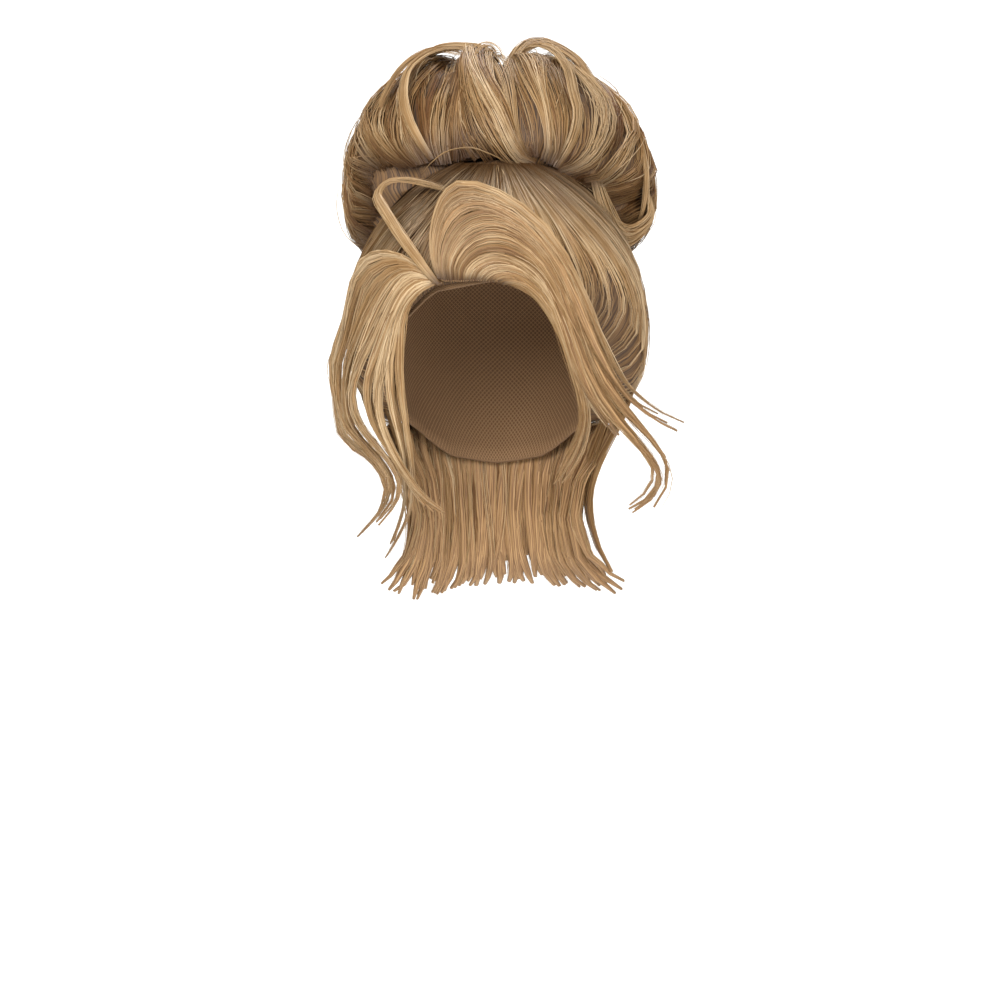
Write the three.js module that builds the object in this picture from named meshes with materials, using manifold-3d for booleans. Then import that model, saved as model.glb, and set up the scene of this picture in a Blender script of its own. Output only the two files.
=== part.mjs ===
// A swept-up costume wig: a wefted net cap, the crown hair combed up over it, a large rolled bun,
// a fringe that sweeps across the forehead, a shorter fringe on the other side of the parting,
// a looped lock at the parting, three raised loops on the bun and a flicked curtain at the nape.
// Millimetres. The origin is the inside of the crown, where the head bears. +Z is up, -Y is the
// face and +X is the wearer's left. Angles are in degrees: a turn is measured round the head from
// the face towards +X, and a dip above (+) or below (-) the widest level of the head.
import * as THREE from "three";
import { mergeVertices } from "three/addons/utils/BufferGeometryUtils.js";
import Module from "manifold-3d";

const wasm = await Module();
wasm.setup();

// The head that the cap is made for.
const HEAD_WIDTH = 154;
const HEAD_LENGTH = 190;
const CROWN_HEIGHT = 95; // crown above the widest level
const HEAD_DROP = 130; // how far the head's oval would run below that level
const HEAD_SET_BACK = 8; // middle of the head behind the crown point

// The net cap and the hair combed up over it.
const NET_THICKNESS = 1.8;
const RIM_THICKNESS = 3.5; // hair at its own edge
const FRONT_HAIR = 9; // hair above the forehead, over the head's length
const BACK_HAIR = 21;
const SIDE_HAIR = 33; // fullness at ear level
const TOP_HAIR = 36; // pile-up under the bun
const LOWER_HAIR = 10;
const COMB_RIDGES = 12; // soft ridges left by the comb
const RIDGE_DEPTH = 1.2;
const SEAT_GAP = 0.3; // air between pieces that lie on each other

// The bun.
const BUN_TILT = 28; // lean of its axis towards the back
const BUN_LIFT = 119; // its middle from the head's middle, along that axis
const BUN_FRONT = 106;
const BUN_SIDE = 118;
const BUN_BACK = 93;
const BUN_TOP = 112;
const GATHER_DEPTH = 8;

// Locks.
const LOCK_SIDES = 6;
const LOCK_STEPS = 12;
const LOOP_STEPS = 11;
const LOCK_STAGGER = 2; // every second lock lies this much higher
const STAGGERED_LENGTH = 0.95; // and is this much of the full length
const GATHER_START = 0.5; // share along a fringe where its strips begin to draw into tips
const GATHER_END = 0.85;
const GATHER_SHARE = 0.9; // how nearly they meet there
const FRINGE_STRIPS = 7;
const FRINGE_LOCK_WIDTH = 18;
const FRINGE_LOCK_DEPTH = 8;
const SIDE_STRIPS = 6;
const SIDE_LOCK_WIDTH = 17;
const SIDE_LOCK_DEPTH = 8;
const PARTING_LOOP_WIDTH = 11;
const PARTING_LOOP_DEPTH = 4.5;
const BUN_LOOP_WIDTH = 20;
const BUN_LOOP_DEPTH = 6;
const LOOP_END_SHARE = 0.65; // size of a loop's ends beside its middle

// The nape curtain.
const NAPE_STRIPS = 11;
const NAPE_REACH = 80; // degrees from the middle of the back to each end
const NAPE_TOP = 168; // its hidden roots, below the crown point
const NAPE_LENGTH = 137;
const NAPE_RADIUS = 62; // round the neck
const NAPE_FLICK = 38; // how far the strongest tip turns out
const NAPE_LOCK_WIDTH = 21;
const NAPE_LOCK_DEPTH = 8;
const NAPE_STEPS = 9;

const HAIR_COLOUR = 0xbd966a;
const SHADED_HAIR_COLOUR = 0xa9835a;
const NET_COLOUR = 0x8b6b4a;

// How finely the rounded forms are divided.
const NET_COLUMNS = 40;
const NET_ROWS = 9;
const CROWN_COLUMNS = 48;
const CROWN_ROWS = 9;
const BUN_COLUMNS = 48;
const WELD = 1e-3; // points closer than this are one

const rad = THREE.MathUtils.degToRad;
const headMiddle = new THREE.Vector3(0, HEAD_SET_BACK, -CROWN_HEIGHT);
const hairHalfWidth = HEAD_WIDTH / 2 + SIDE_HAIR;
const EDGE_GAP = THREE.MathUtils.radToDeg(SEAT_GAP / (HEAD_WIDTH / 2)); // the same gap at an edge

const HEAD_OVAL = {
  side: HEAD_WIDTH / 2,
  front: HEAD_LENGTH / 2,
  back: HEAD_LENGTH / 2,
  up: CROWN_HEIGHT,
  down: HEAD_DROP,
};
const HAIR_OVAL = {
  side: hairHalfWidth,
  front: HEAD_LENGTH / 2 + FRONT_HAIR,
  back: HEAD_LENGTH / 2 + BACK_HAIR,
  up: CROWN_HEIGHT + TOP_HAIR,
  down: HEAD_DROP + LOWER_HAIR,
};

// The edge of the net and of the combed hair, the same on both sides: their dip for each turn, and
// how many degrees above its edge the hair has gained its full depth.
const RIM = [
  { turn: 0, net: 29, hair: 31, blend: 24 },
  { turn: 30, net: 25, hair: 27, blend: 24 },
  { turn: 52, net: 12, hair: 14, blend: 22 },
  { turn: 70, net: -12, hair: -10, blend: 20 },
  { turn: 88, net: -34, hair: -32, blend: 15 },
  { turn: 105, net: -47, hair: -43, blend: 11 },
  { turn: 145, net: -60, hair: -50, blend: 11 },
  { turn: 180, net: -62, hair: -51, blend: 11 },
];

// The bun's outline from its top (open 0) round to its underside, as shares of its named sizes.
const BUN_PROFILE = [
  { open: 0, front: 0.68, side: 0.68, back: 0.8 },
  { open: 14, front: 0.76, side: 0.77, back: 0.98 },
  { open: 32, front: 0.91, side: 0.87, back: 1.1 },
  { open: 55, front: 1.02, side: 0.91, back: 1.08 },
  { open: 75, front: 1.02, side: 0.97, back: 1.02 },
  { open: 92, front: 0.96, side: 1.0, back: 0.99 },
  { open: 104, front: 0.79, side: 1.0, back: 0.97 },
  { open: 118, front: 0.62, side: 0.96, back: 0.9 },
  { open: 134, front: 0.5, side: 0.76, back: 0.76 },
  { open: 180, front: 0.45, side: 0.42, back: 0.52 },
];

// Gathers in the bun, by turn round its axis: share of the full depth, and width in degrees.
const BUN_GATHERS = [
  { turn: 7, depth: 1.1, width: 9 },
  { turn: 31, depth: 0.6, width: 7 },
  { turn: 54, depth: 0.8, width: 8 },
  { turn: 75, depth: 0.5, width: 7 },
  { turn: 108, depth: 0.8, width: 9 },
  { turn: 142, depth: 0.6, width: 10 },
  { turn: 177, depth: 0.9, width: 10 },
  { turn: 212, depth: 0.6, width: 10 },
  { turn: 248, depth: 0.8, width: 9 },
  { turn: 288, depth: 0.5, width: 8 },
  { turn: 311, depth: 0.8, width: 8 },
  { turn: 336, depth: 0.7, width: 8 },
];

// Guides that the fringe's strips lie between. Lift is the height above the full hair oval, as a
// share of half the hair's width. Each guide runs from its hidden root to its tip.
const SWEPT_GUIDES = [
  [
    { turn: -24, dip: 24, lift: -0.06 },
    { turn: -25, dip: 34, lift: 0.07 },
    { turn: -20, dip: 46, lift: 0.16 },
    { turn: -5, dip: 52, lift: 0.18 },
    { turn: 16, dip: 43, lift: 0.13 },
    { turn: 33, dip: 24, lift: 0.08 },
    { turn: 46, dip: 3, lift: 0.07 },
    { turn: 54, dip: -13, lift: 0.13 },
    { turn: 67, dip: -19, lift: 0.44 },
  ],
  [
    { turn: -14, dip: 26, lift: -0.06 },
    { turn: -14, dip: 32, lift: 0.07 },
    { turn: -6, dip: 38, lift: 0.12 },
    { turn: 7, dip: 37, lift: 0.12 },
    { turn: 22, dip: 23, lift: 0.1 },
    { turn: 37, dip: 0, lift: 0.04 },
    { turn: 49, dip: -23, lift: 0.04 },
    { turn: 54, dip: -29, lift: 0.5 },
    { turn: 50, dip: -39, lift: 0.6 },
  ],
  [
    { turn: 4, dip: 27, lift: -0.06 },
    { turn: 6, dip: 29, lift: 0.03 },
    { turn: 12, dip: 27, lift: 0.05 },
    { turn: 19, dip: 20, lift: 0.04 },
    { turn: 27, dip: 7, lift: 0.0 },
    { turn: 34, dip: -8, lift: -0.04 },
    { turn: 39, dip: -24, lift: -0.01 },
    { turn: 38, dip: -37, lift: 0.07 },
    { turn: 31, dip: -48, lift: 0.14 },
  ],
];
const SIDE_GUIDES = [
  [
    { turn: -29, dip: 26, lift: -0.06 },
    { turn: -40, dip: 31, lift: 0.09 },
    { turn: -59, dip: 31, lift: 0.08 },
    { turn: -69, dip: 16, lift: 0.04 },
    { turn: -69, dip: -1, lift: 0.11 },
    { turn: -66, dip: -18, lift: 0.2 },
    { turn: -57, dip: -35, lift: 0.16 },
    { turn: -46, dip: -45, lift: 0.22 },
    { turn: -50, dip: -49, lift: 0.47 },
  ],
  [
    { turn: -30, dip: 24, lift: -0.06 },
    { turn: -38, dip: 25, lift: 0.08 },
    { turn: -48, dip: 21, lift: 0.08 },
    { turn: -55, dip: 8, lift: 0.04 },
    { turn: -58, dip: -8, lift: 0.07 },
    { turn: -55, dip: -25, lift: 0.12 },
    { turn: -44, dip: -37, lift: 0.12 },
    { turn: -38, dip: -49, lift: 0.27 },
    { turn: -48, dip: -55, lift: 0.57 },
  ],
  [
    { turn: -31, dip: 22, lift: -0.06 },
    { turn: -36, dip: 17, lift: 0.03 },
    { turn: -41, dip: 8, lift: -0.01 },
    { turn: -43, dip: -4, lift: -0.02 },
    { turn: -43, dip: -15, lift: 0.0 },
    { turn: -42, dip: -26, lift: 0.03 },
    { turn: -39, dip: -36, lift: 0.1 },
    { turn: -33, dip: -44, lift: 0.18 },
    { turn: -25, dip: -50, lift: 0.23 },
  ],
];
const PARTING_LOOP = [
  { turn: -26, dip: 25, lift: -0.04 },
  { turn: -31, dip: 30, lift: 0.08 },
  { turn: -39, dip: 36, lift: 0.14 },
  { turn: -49, dip: 42, lift: 0.2 },
  { turn: -57, dip: 46, lift: 0.24 },
  { turn: -58, dip: 51, lift: 0.23 },
  { turn: -54, dip: 55, lift: 0.17 },
  { turn: -46, dip: 58, lift: 0.09 },
  { turn: -36, dip: 60, lift: 0.02 },
];
// Raised loops on the bun. Open is the angle from the bun's axis, and stand how far the middle of
// the lock stands off the bun, as a share of the bun's side.
const RIGHT_BUN_LOOP = [
  { turn: -1, open: 41, stand: -0.034 },
  { turn: -9, open: 38, stand: 0.025 },
  { turn: -18, open: 37, stand: 0.076 },
  { turn: -29, open: 38, stand: 0.102 },
  { turn: -39, open: 42, stand: 0.085 },
  { turn: -47, open: 48, stand: 0.059 },
  { turn: -52, open: 57, stand: -0.025 },
];
const LEFT_BUN_LOOP = [
  { turn: 9, open: 42, stand: -0.034 },
  { turn: 16, open: 39, stand: 0.059 },
  { turn: 27, open: 38, stand: 0.119 },
  { turn: 37, open: 41, stand: 0.102 },
  { turn: 45, open: 47, stand: 0.068 },
  { turn: 51, open: 55, stand: 0.042 },
  { turn: 54, open: 66, stand: -0.025 },
];
const LOW_BUN_LOOP = [
  { turn: 50, open: 103, stand: -0.025 },
  { turn: 58, open: 113, stand: 0.025 },
  { turn: 67, open: 119, stand: 0.042 },
  { turn: 76, open: 116, stand: 0.059 },
  { turn: 80, open: 105, stand: 0.051 },
  { turn: 77, open: 92, stand: -0.025 },
];
// How a strip's width and depth change from its root to its tip.
const STRIP_SHAPE = [
  { along: 0, width: 0.75, depth: 0.8 },
  { along: 0.3, width: 1.1, depth: 1.1 },
  { along: 0.65, width: 0.95, depth: 1.0 },
  { along: 0.88, width: 0.6, depth: 0.65 },
  { along: 1, width: 0.12, depth: 0.15 },
];
// The nape curtain from root to tip: shares of its length, of its radius, of its flick and of its
// locks' width and depth.
const NAPE_ROWS = [
  { fall: 0, radius: 1.16, spread: 1, flick: 0, width: 1.1, depth: 2.3 },
  { fall: 0.14, radius: 1.12, spread: 0.8, flick: 0, width: 1.15, depth: 2.1 },
  { fall: 0.32, radius: 1.02, spread: 0.25, flick: 0, width: 1.1, depth: 1.4 },
  { fall: 0.54, radius: 0.98, spread: 0, flick: 0.03, width: 1.05, depth: 1.0 },
  { fall: 0.76, radius: 1.0, spread: 0, flick: 0.2, width: 0.95, depth: 0.85 },
  { fall: 0.9, radius: 1.02, spread: 0, flick: 0.55, width: 0.65, depth: 0.6 },
  { fall: 1, radius: 1.03, spread: 0, flick: 1, width: 0.15, depth: 0.2 },
];
// How strongly the curtain's tips turn out, how far down they reach and, as a share of its radius,
// how far their roots stand out beside the ears, from its left end round the back to its right end.
const NAPE_TIPS = [
  { share: 0, flick: 1.15, fall: 0.9, spread: 0.242 },
  { share: 0.12, flick: 0.9, fall: 1.0, spread: 0.194 },
  { share: 0.3, flick: 0.6, fall: 0.99, spread: 0.065 },
  { share: 0.5, flick: 0.7, fall: 1.02, spread: 0 },
  { share: 0.7, flick: 0.5, fall: 1.03, spread: 0.065 },
  { share: 0.88, flick: 0.3, fall: 1.03, spread: 0.194 },
  { share: 1, flick: 0.8, fall: 0.9, spread: 0.242 },
];

// A smooth value between the rows of a table, read by one of its columns. It runs half way between
// a straight line and a full ease from row to row.
function column(table, key, name) {
  const keys = table.map((row) => row[key]);
  const values = table.map((row) => row[name]);
  return (at) => {
    const clamped = THREE.MathUtils.clamp(at, keys[0], keys.at(-1));
    const next = Math.max(1, keys.findIndex((k) => k >= clamped));
    const share = (clamped - keys[next - 1]) / (keys[next] - keys[next - 1]);
    const eased = THREE.MathUtils.lerp(share, share * share * (3 - 2 * share), 0.5);
    return THREE.MathUtils.lerp(values[next - 1], values[next], eased);
  };
}

function direction(turn, dip) {
  const t = rad(turn);
  const d = rad(dip);
  return new THREE.Vector3(Math.sin(t) * Math.cos(d), -Math.cos(t) * Math.cos(d), Math.sin(d));
}

// Distance from the head's middle to an oval's surface, along a unit direction.
function reach(oval, way) {
  const length = way.y < 0 ? oval.front : oval.back;
  const height = way.z > 0 ? oval.up : oval.down;
  return 1 / Math.hypot(way.x / oval.side, way.y / length, way.z / height);
}

const netRim = column(RIM, "turn", "net");
const hairRim = column(RIM, "turn", "hair");
const rimBlend = column(RIM, "turn", "blend");
const foldTurn = (turn) => Math.abs(THREE.MathUtils.euclideanModulo(turn + 180, 360) - 180);

// Surfaces round the head, each as a distance from its middle.
const headReach = (turn, dip) => reach(HEAD_OVAL, direction(turn, dip));
const netReach = (turn, dip) => headReach(turn, dip) + NET_THICKNESS;
function crownReach(turn, dip) {
  const start = netReach(turn, dip) + SEAT_GAP + RIM_THICKNESS;
  const full = Math.max(start, reach(HAIR_OVAL, direction(turn, dip)));
  const side = foldTurn(turn);
  const gained = THREE.MathUtils.clamp((dip - hairRim(side)) / rimBlend(side), 0, 1);
  const ridge = RIDGE_DEPTH * gained * Math.cos(rad(turn * COMB_RIDGES)) * Math.cos(rad(dip));
  return THREE.MathUtils.lerp(start, full, Math.sin((gained * Math.PI) / 2)) + ridge;
}

const asGeometry = (points, faces) => {
  const positions = new Float32Array(points.flatMap((p) => p.toArray()));
  return new THREE.BufferGeometry()
    .setAttribute("position", new THREE.BufferAttribute(positions, 3))
    .setIndex(faces.flat());
};

// One side of a cap: rings of points from its rim (row 0) up to one point at the top.
function capPoints(columns, rows, rim, distance) {
  const points = [];
  for (let row = 0; row < rows; row++) {
    for (let i = 0; i < columns; i++) {
      const turn = (i * 360) / columns;
      const edge = rim(foldTurn(turn));
      const dip = edge + (90 - edge) * (row / rows);
      points.push(direction(turn, dip).multiplyScalar(distance(turn, dip)).add(headMiddle));
    }
  }
  points.push(direction(0, 90).multiplyScalar(distance(0, 90)).add(headMiddle));
  return points;
}

function capFaces(columns, rows, first, inward) {
  const faces = [];
  const at = (row, i) => first + row * columns + (i % columns);
  const add = (a, b, c) => faces.push(inward ? [a, c, b] : [a, b, c]);
  for (let i = 0; i < columns; i++) {
    for (let row = 0; row < rows - 1; row++) {
      add(at(row, i), at(row, i + 1), at(row + 1, i + 1));
      add(at(row, i), at(row + 1, i + 1), at(row + 1, i));
    }
    add(at(rows - 1, i), at(rows - 1, i + 1), first + rows * columns);
  }
  return faces;
}

// An open cap with a wall between two distances.
function shellGeometry(columns, rows, rim, inside, outside) {
  const outer = capPoints(columns, rows, rim, outside);
  const inner = capPoints(columns, rows, rim, inside);
  const faces = [
    ...capFaces(columns, rows, 0, false),
    ...capFaces(columns, rows, outer.length, true),
  ];
  for (let i = 0; i < columns; i++) {
    const next = (i + 1) % columns;
    faces.push([i, outer.length + i, outer.length + next], [i, outer.length + next, next]);
  }
  return asGeometry([...outer, ...inner], faces);
}

// The same cap filled to the middle of the head, as a tool that clears what lies on it.
function filledGeometry(columns, rows, rim, outside) {
  const outer = capPoints(columns, rows, rim, outside);
  const faces = capFaces(columns, rows, 0, false);
  for (let i = 0; i < columns; i++) faces.push([i, outer.length, (i + 1) % columns]);
  return asGeometry([...outer, headMiddle.clone()], faces);
}

function solidOf(geometry) {
  const bare = geometry.clone();
  bare.deleteAttribute("normal");
  bare.deleteAttribute("uv");
  const merged = mergeVertices(bare, WELD);
  return new wasm.Manifold(
    new wasm.Mesh({
      numProp: 3,
      vertProperties: merged.getAttribute("position").array,
      triVerts: new Uint32Array(merged.index.array),
    }),
  );
}

function geometryOf(solid) {
  const mesh = solid.getMesh();
  return new THREE.BufferGeometry()
    .setAttribute("position", new THREE.BufferAttribute(mesh.vertProperties, 3))
    .setIndex(new THREE.BufferAttribute(mesh.triVerts, 1));
}

// Keeps the largest of the pieces that a cut leaves.
function largest(solid) {
  const bodies = solid.decompose();
  return bodies.reduce((a, b) => (b.volume() > a.volume() ? b : a));
}

// A lock of hair: an oval section carried along a curve and closed at both ends. Outward gives the
// side that faces away from the head, and size the half width and half depth at a share along.
function lockGeometry(curve, outward, size, steps) {
  const lock = new THREE.CylinderGeometry(1, 1, 1, LOCK_SIDES, steps);
  const position = lock.getAttribute("position");
  const p = new THREE.Vector3();
  for (let i = 0; i < position.count; i++) {
    p.fromBufferAttribute(position, i);
    const along = THREE.MathUtils.clamp(p.y + 0.5, 0, 1);
    const centre = curve.getPoint(along);
    const tangent = curve.getTangent(along);
    const across = tangent.clone().cross(outward(centre)).normalize();
    const up = across.clone().cross(tangent);
    const { width, depth } = size(along);
    centre.addScaledVector(across, p.x * width).addScaledVector(up, p.z * depth);
    position.setXYZ(i, centre.x, centre.y, centre.z);
  }
  return lock;
}

const lockSolid = (curve, outward, size, steps = LOCK_STEPS) =>
  solidOf(lockGeometry(curve, outward, size, steps));

const fromHead = (point) => point.clone().sub(headMiddle).normalize();

function guidePoint({ turn, dip, lift }) {
  const way = direction(turn, dip);
  return way.multiplyScalar(reach(HAIR_OVAL, way) + lift * hairHalfWidth).add(headMiddle);
}

const stripWidth = column(STRIP_SHAPE, "along", "width");
const stripDepth = column(STRIP_SHAPE, "along", "depth");

// Strips that lie side by side between guides and gather into a tip at each guide.
function stripsBetween(guides, strips, width, depth) {
  const curves = guides.map((rows) => new THREE.CatmullRomCurve3(rows.map(guidePoint)));
  const spans = guides.length - 1;
  const steps = guides[0].length - 1;
  let body = null;
  for (let strip = 0; strip < strips; strip++) {
    const share = (strip / (strips - 1)) * spans;
    const odd = strip % 2;
    const length = odd ? STAGGERED_LENGTH : 1;
    const points = [];
    for (let step = 0; step <= steps; step++) {
      const along = (step / steps) * length;
      const gather = GATHER_SHARE * THREE.MathUtils.smoothstep(along, GATHER_START, GATHER_END);
      const place = THREE.MathUtils.lerp(share, Math.round(share), gather);
      const left = Math.min(spans - 1, Math.floor(place));
      const point = curves[left].getPoint(along).lerp(curves[left + 1].getPoint(along), place - left);
      points.push(point.addScaledVector(fromHead(point), odd * LOCK_STAGGER));
    }
    const size = (along) => ({
      width: (width / 2) * stripWidth(along),
      depth: (depth / 2) * stripDepth(along),
    });
    const lock = lockSolid(new THREE.CatmullRomCurve3(points), fromHead, size);
    body = body ? body.add(lock) : lock;
  }
  return body;
}

// The bun's frame: its middle, its axis, and the way from the axis towards the face.
const bunAxis = new THREE.Vector3(0, Math.sin(rad(BUN_TILT)), Math.cos(rad(BUN_TILT)));
const bunMiddle = headMiddle.clone().addScaledVector(bunAxis, BUN_LIFT);
const bunForward = new THREE.Vector3(0, -Math.cos(rad(BUN_TILT)), Math.sin(rad(BUN_TILT)));
const bunFront = column(BUN_PROFILE, "open", "front");
const bunSide = column(BUN_PROFILE, "open", "side");
const bunBack = column(BUN_PROFILE, "open", "back");

function bunReach(turn, open) {
  const ahead = Math.cos(rad(turn));
  const top = Math.cos(rad(Math.min(90, open))) ** 2;
  const end = ahead > 0 ? BUN_FRONT * bunFront(open) : BUN_BACK * bunBack(open);
  const flank = BUN_SIDE * bunSide(open);
  const ring = flank + (end - flank) * ahead * ahead;
  const full = THREE.MathUtils.lerp(ring, BUN_TOP * bunFront(open), top * top);
  const sunk = BUN_GATHERS.reduce((sum, gather) => {
    const away = THREE.MathUtils.euclideanModulo(turn - gather.turn + 180, 360) - 180;
    return sum + gather.depth * Math.exp(-((away / gather.width) ** 2));
  }, 0);
  return full - GATHER_DEPTH * sunk * Math.sin(rad(open)) ** 0.5;
}

function bunPoint(turn, open, distance) {
  return bunMiddle
    .clone()
    .addScaledVector(bunAxis, distance * Math.cos(rad(open)))
    .addScaledVector(bunForward, distance * Math.sin(rad(open)) * Math.cos(rad(turn)))
    .addScaledVector(new THREE.Vector3(1, 0, 0), distance * Math.sin(rad(open)) * Math.sin(rad(turn)));
}

function bunGeometry(extra) {
  const rings = BUN_PROFILE.slice(1, -1).map((row) => row.open);
  const opens = rings.flatMap((open, i) => (i ? [(open + rings[i - 1]) / 2, open] : [open]));
  const points = [bunPoint(0, 0, bunReach(0, 0) + extra)];
  for (const open of opens) {
    for (let i = 0; i < BUN_COLUMNS; i++) {
      const turn = (i * 360) / BUN_COLUMNS;
      points.push(bunPoint(turn, open, bunReach(turn, open) + extra));
    }
  }
  points.push(bunPoint(0, 180, bunReach(0, 180)));
  const at = (row, i) => 1 + row * BUN_COLUMNS + (i % BUN_COLUMNS);
  const faces = [];
  for (let i = 0; i < BUN_COLUMNS; i++) {
    faces.push([0, at(0, i), at(0, i + 1)]);
    for (let row = 0; row < opens.length - 1; row++) {
      faces.push([at(row, i), at(row + 1, i), at(row + 1, i + 1)]);
      faces.push([at(row, i), at(row + 1, i + 1), at(row, i + 1)]);
    }
    faces.push([at(opens.length - 1, i), points.length - 1, at(opens.length - 1, i + 1)]);
  }
  return asGeometry(points, faces);
}

// The half sizes of a loop, which is fullest in its middle.
function loopSize(width, depth) {
  return (along) => {
    const full = THREE.MathUtils.lerp(LOOP_END_SHARE, 1, Math.sin(Math.PI * along));
    return { width: (width / 2) * full, depth: (depth / 2) * full };
  };
}

function bunLoop(rows) {
  const place = ({ turn, open, stand }) => bunPoint(turn, open, bunReach(turn, open) + stand * BUN_SIDE);
  const curve = new THREE.CatmullRomCurve3(rows.map(place));
  const fromBun = (point) => point.clone().sub(bunMiddle).normalize();
  return lockSolid(curve, fromBun, loopSize(BUN_LOOP_WIDTH, BUN_LOOP_DEPTH), LOOP_STEPS);
}

function partingLoop() {
  const curve = new THREE.CatmullRomCurve3(PARTING_LOOP.map(guidePoint));
  const size = loopSize(PARTING_LOOP_WIDTH, PARTING_LOOP_DEPTH);
  return lockSolid(curve, fromHead, size, LOOP_STEPS);
}

// The curtain at the nape: strips round the back of the neck, each with its tip turned out.
const napeMiddle = new THREE.Vector3(0, HEAD_SET_BACK, 0);
const napeShape = NAPE_ROWS.map((row, i) => ({ ...row, along: i / (NAPE_ROWS.length - 1) }));
function napeCurtain() {
  const tipFlick = column(NAPE_TIPS, "share", "flick");
  const tipFall = column(NAPE_TIPS, "share", "fall");
  const rootSpread = column(NAPE_TIPS, "share", "spread");
  const widthAt = column(napeShape, "along", "width");
  const depthAt = column(napeShape, "along", "depth");
  let body = null;
  for (let strip = 0; strip < NAPE_STRIPS; strip++) {
    const share = strip / (NAPE_STRIPS - 1);
    const turn = rad(180 - NAPE_REACH * (1 - 2 * share));
    const way = new THREE.Vector3(Math.sin(turn), -Math.cos(turn), 0);
    const odd = strip % 2;
    const length = NAPE_LENGTH * tipFall(share) * (odd ? STAGGERED_LENGTH : 1);
    const curve = new THREE.CatmullRomCurve3(
      NAPE_ROWS.map(({ fall, radius, spread, flick }) => {
        const spreadOut = radius + rootSpread(share) * spread;
        const turnedOut = NAPE_FLICK * flick * tipFlick(share);
        const out = NAPE_RADIUS * spreadOut + turnedOut + odd * LOCK_STAGGER;
        return way.clone().multiplyScalar(out).setZ(-NAPE_TOP - length * fall).add(napeMiddle);
      }),
    );
    const size = (along) => ({
      width: (NAPE_LOCK_WIDTH / 2) * widthAt(along),
      depth: (NAPE_LOCK_DEPTH / 2) * depthAt(along),
    });
    const lock = lockSolid(curve, () => way, size, NAPE_STEPS);
    body = body ? body.add(lock) : lock;
  }
  return body;
}

function mesh(name, geometry, colour, roughness) {
  const material = new THREE.MeshStandardMaterial({ color: colour, roughness, metalness: 0 });
  const made = new THREE.Mesh(geometry, material);
  made.name = name;
  return made;
}

const clearOfNet = (turn, dip) => netReach(turn, dip) + SEAT_GAP;
const clearOfCrown = (turn, dip) => crownReach(turn, dip) + SEAT_GAP;

const wigCap = shellGeometry(NET_COLUMNS, NET_ROWS, netRim, headReach, netReach);
const belowNet = (turn) => netRim(turn) - EDGE_GAP;
const belowHair = (turn) => hairRim(turn) - EDGE_GAP;
const netTool = solidOf(filledGeometry(NET_COLUMNS, NET_ROWS, belowNet, clearOfNet));
const crownFilled = solidOf(filledGeometry(CROWN_COLUMNS, CROWN_ROWS, hairRim, crownReach));
const crownHair = largest(crownFilled.subtract(netTool));
const crownTool = solidOf(filledGeometry(CROWN_COLUMNS, CROWN_ROWS, belowHair, clearOfCrown));
const headTool = crownTool.add(netTool);

const bun = largest(solidOf(bunGeometry(0)).subtract(headTool));
const bunTool = solidOf(bunGeometry(SEAT_GAP));
const rightLoop = largest(bunLoop(RIGHT_BUN_LOOP).subtract(bunTool));
const leftLoop = largest(bunLoop(LEFT_BUN_LOOP).subtract(bunTool));
const lowLoop = largest(bunLoop(LOW_BUN_LOOP).subtract(bunTool).subtract(headTool));

const sweptStrips = (extra) =>
  stripsBetween(SWEPT_GUIDES, FRINGE_STRIPS, FRINGE_LOCK_WIDTH + extra, FRINGE_LOCK_DEPTH + extra);
const sideStrips = (extra) =>
  stripsBetween(SIDE_GUIDES, SIDE_STRIPS, SIDE_LOCK_WIDTH + extra, SIDE_LOCK_DEPTH + extra);
const sweptFringe = largest(sweptStrips(0).subtract(headTool).subtract(bunTool));
const sweptTool = sweptStrips(2 * SEAT_GAP);
const sideFringe = largest(sideStrips(0).subtract(headTool).subtract(bunTool).subtract(sweptTool));
const sideTool = sideStrips(2 * SEAT_GAP);
const loopAtParting = largest(
  partingLoop().subtract(headTool).subtract(bunTool).subtract(sweptTool).subtract(sideTool),
);
const napeHair = largest(napeCurtain().subtract(headTool));

const wig = new THREE.Group();
wig.add(
  mesh("wig_cap", wigCap, NET_COLOUR, 0.9),
  mesh("crown_hair", geometryOf(crownHair), SHADED_HAIR_COLOUR, 0.5),
  mesh("bun", geometryOf(bun), HAIR_COLOUR, 0.45),
  mesh("bun_loop_right", geometryOf(rightLoop), HAIR_COLOUR, 0.45),
  mesh("bun_loop_left", geometryOf(leftLoop), HAIR_COLOUR, 0.45),
  mesh("bun_loop_low", geometryOf(lowLoop), HAIR_COLOUR, 0.45),
  mesh("swept_fringe", geometryOf(sweptFringe), HAIR_COLOUR, 0.45),
  mesh("side_fringe", geometryOf(sideFringe), HAIR_COLOUR, 0.45),
  mesh("parting_loop", geometryOf(loopAtParting), HAIR_COLOUR, 0.45),
  mesh("nape_hair", geometryOf(napeHair), SHADED_HAIR_COLOUR, 0.5),
);

export default wig;
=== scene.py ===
"""A swept-up costume wig in honey blonde fibre, built of fine strands over shaped under-hair.

Metres, with the origin at the inside top of the cap, +Z up, -Y towards the face and +X the wearer's
left. Angles are in degrees: a turn goes round the head from the face towards +X, and a dip rises
from the head's widest level. On the bun, open is the angle from the bun's own axis.
"""

import logging
import math
from dataclasses import dataclass, field
from enum import Enum
from typing import Callable, Sequence

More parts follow.
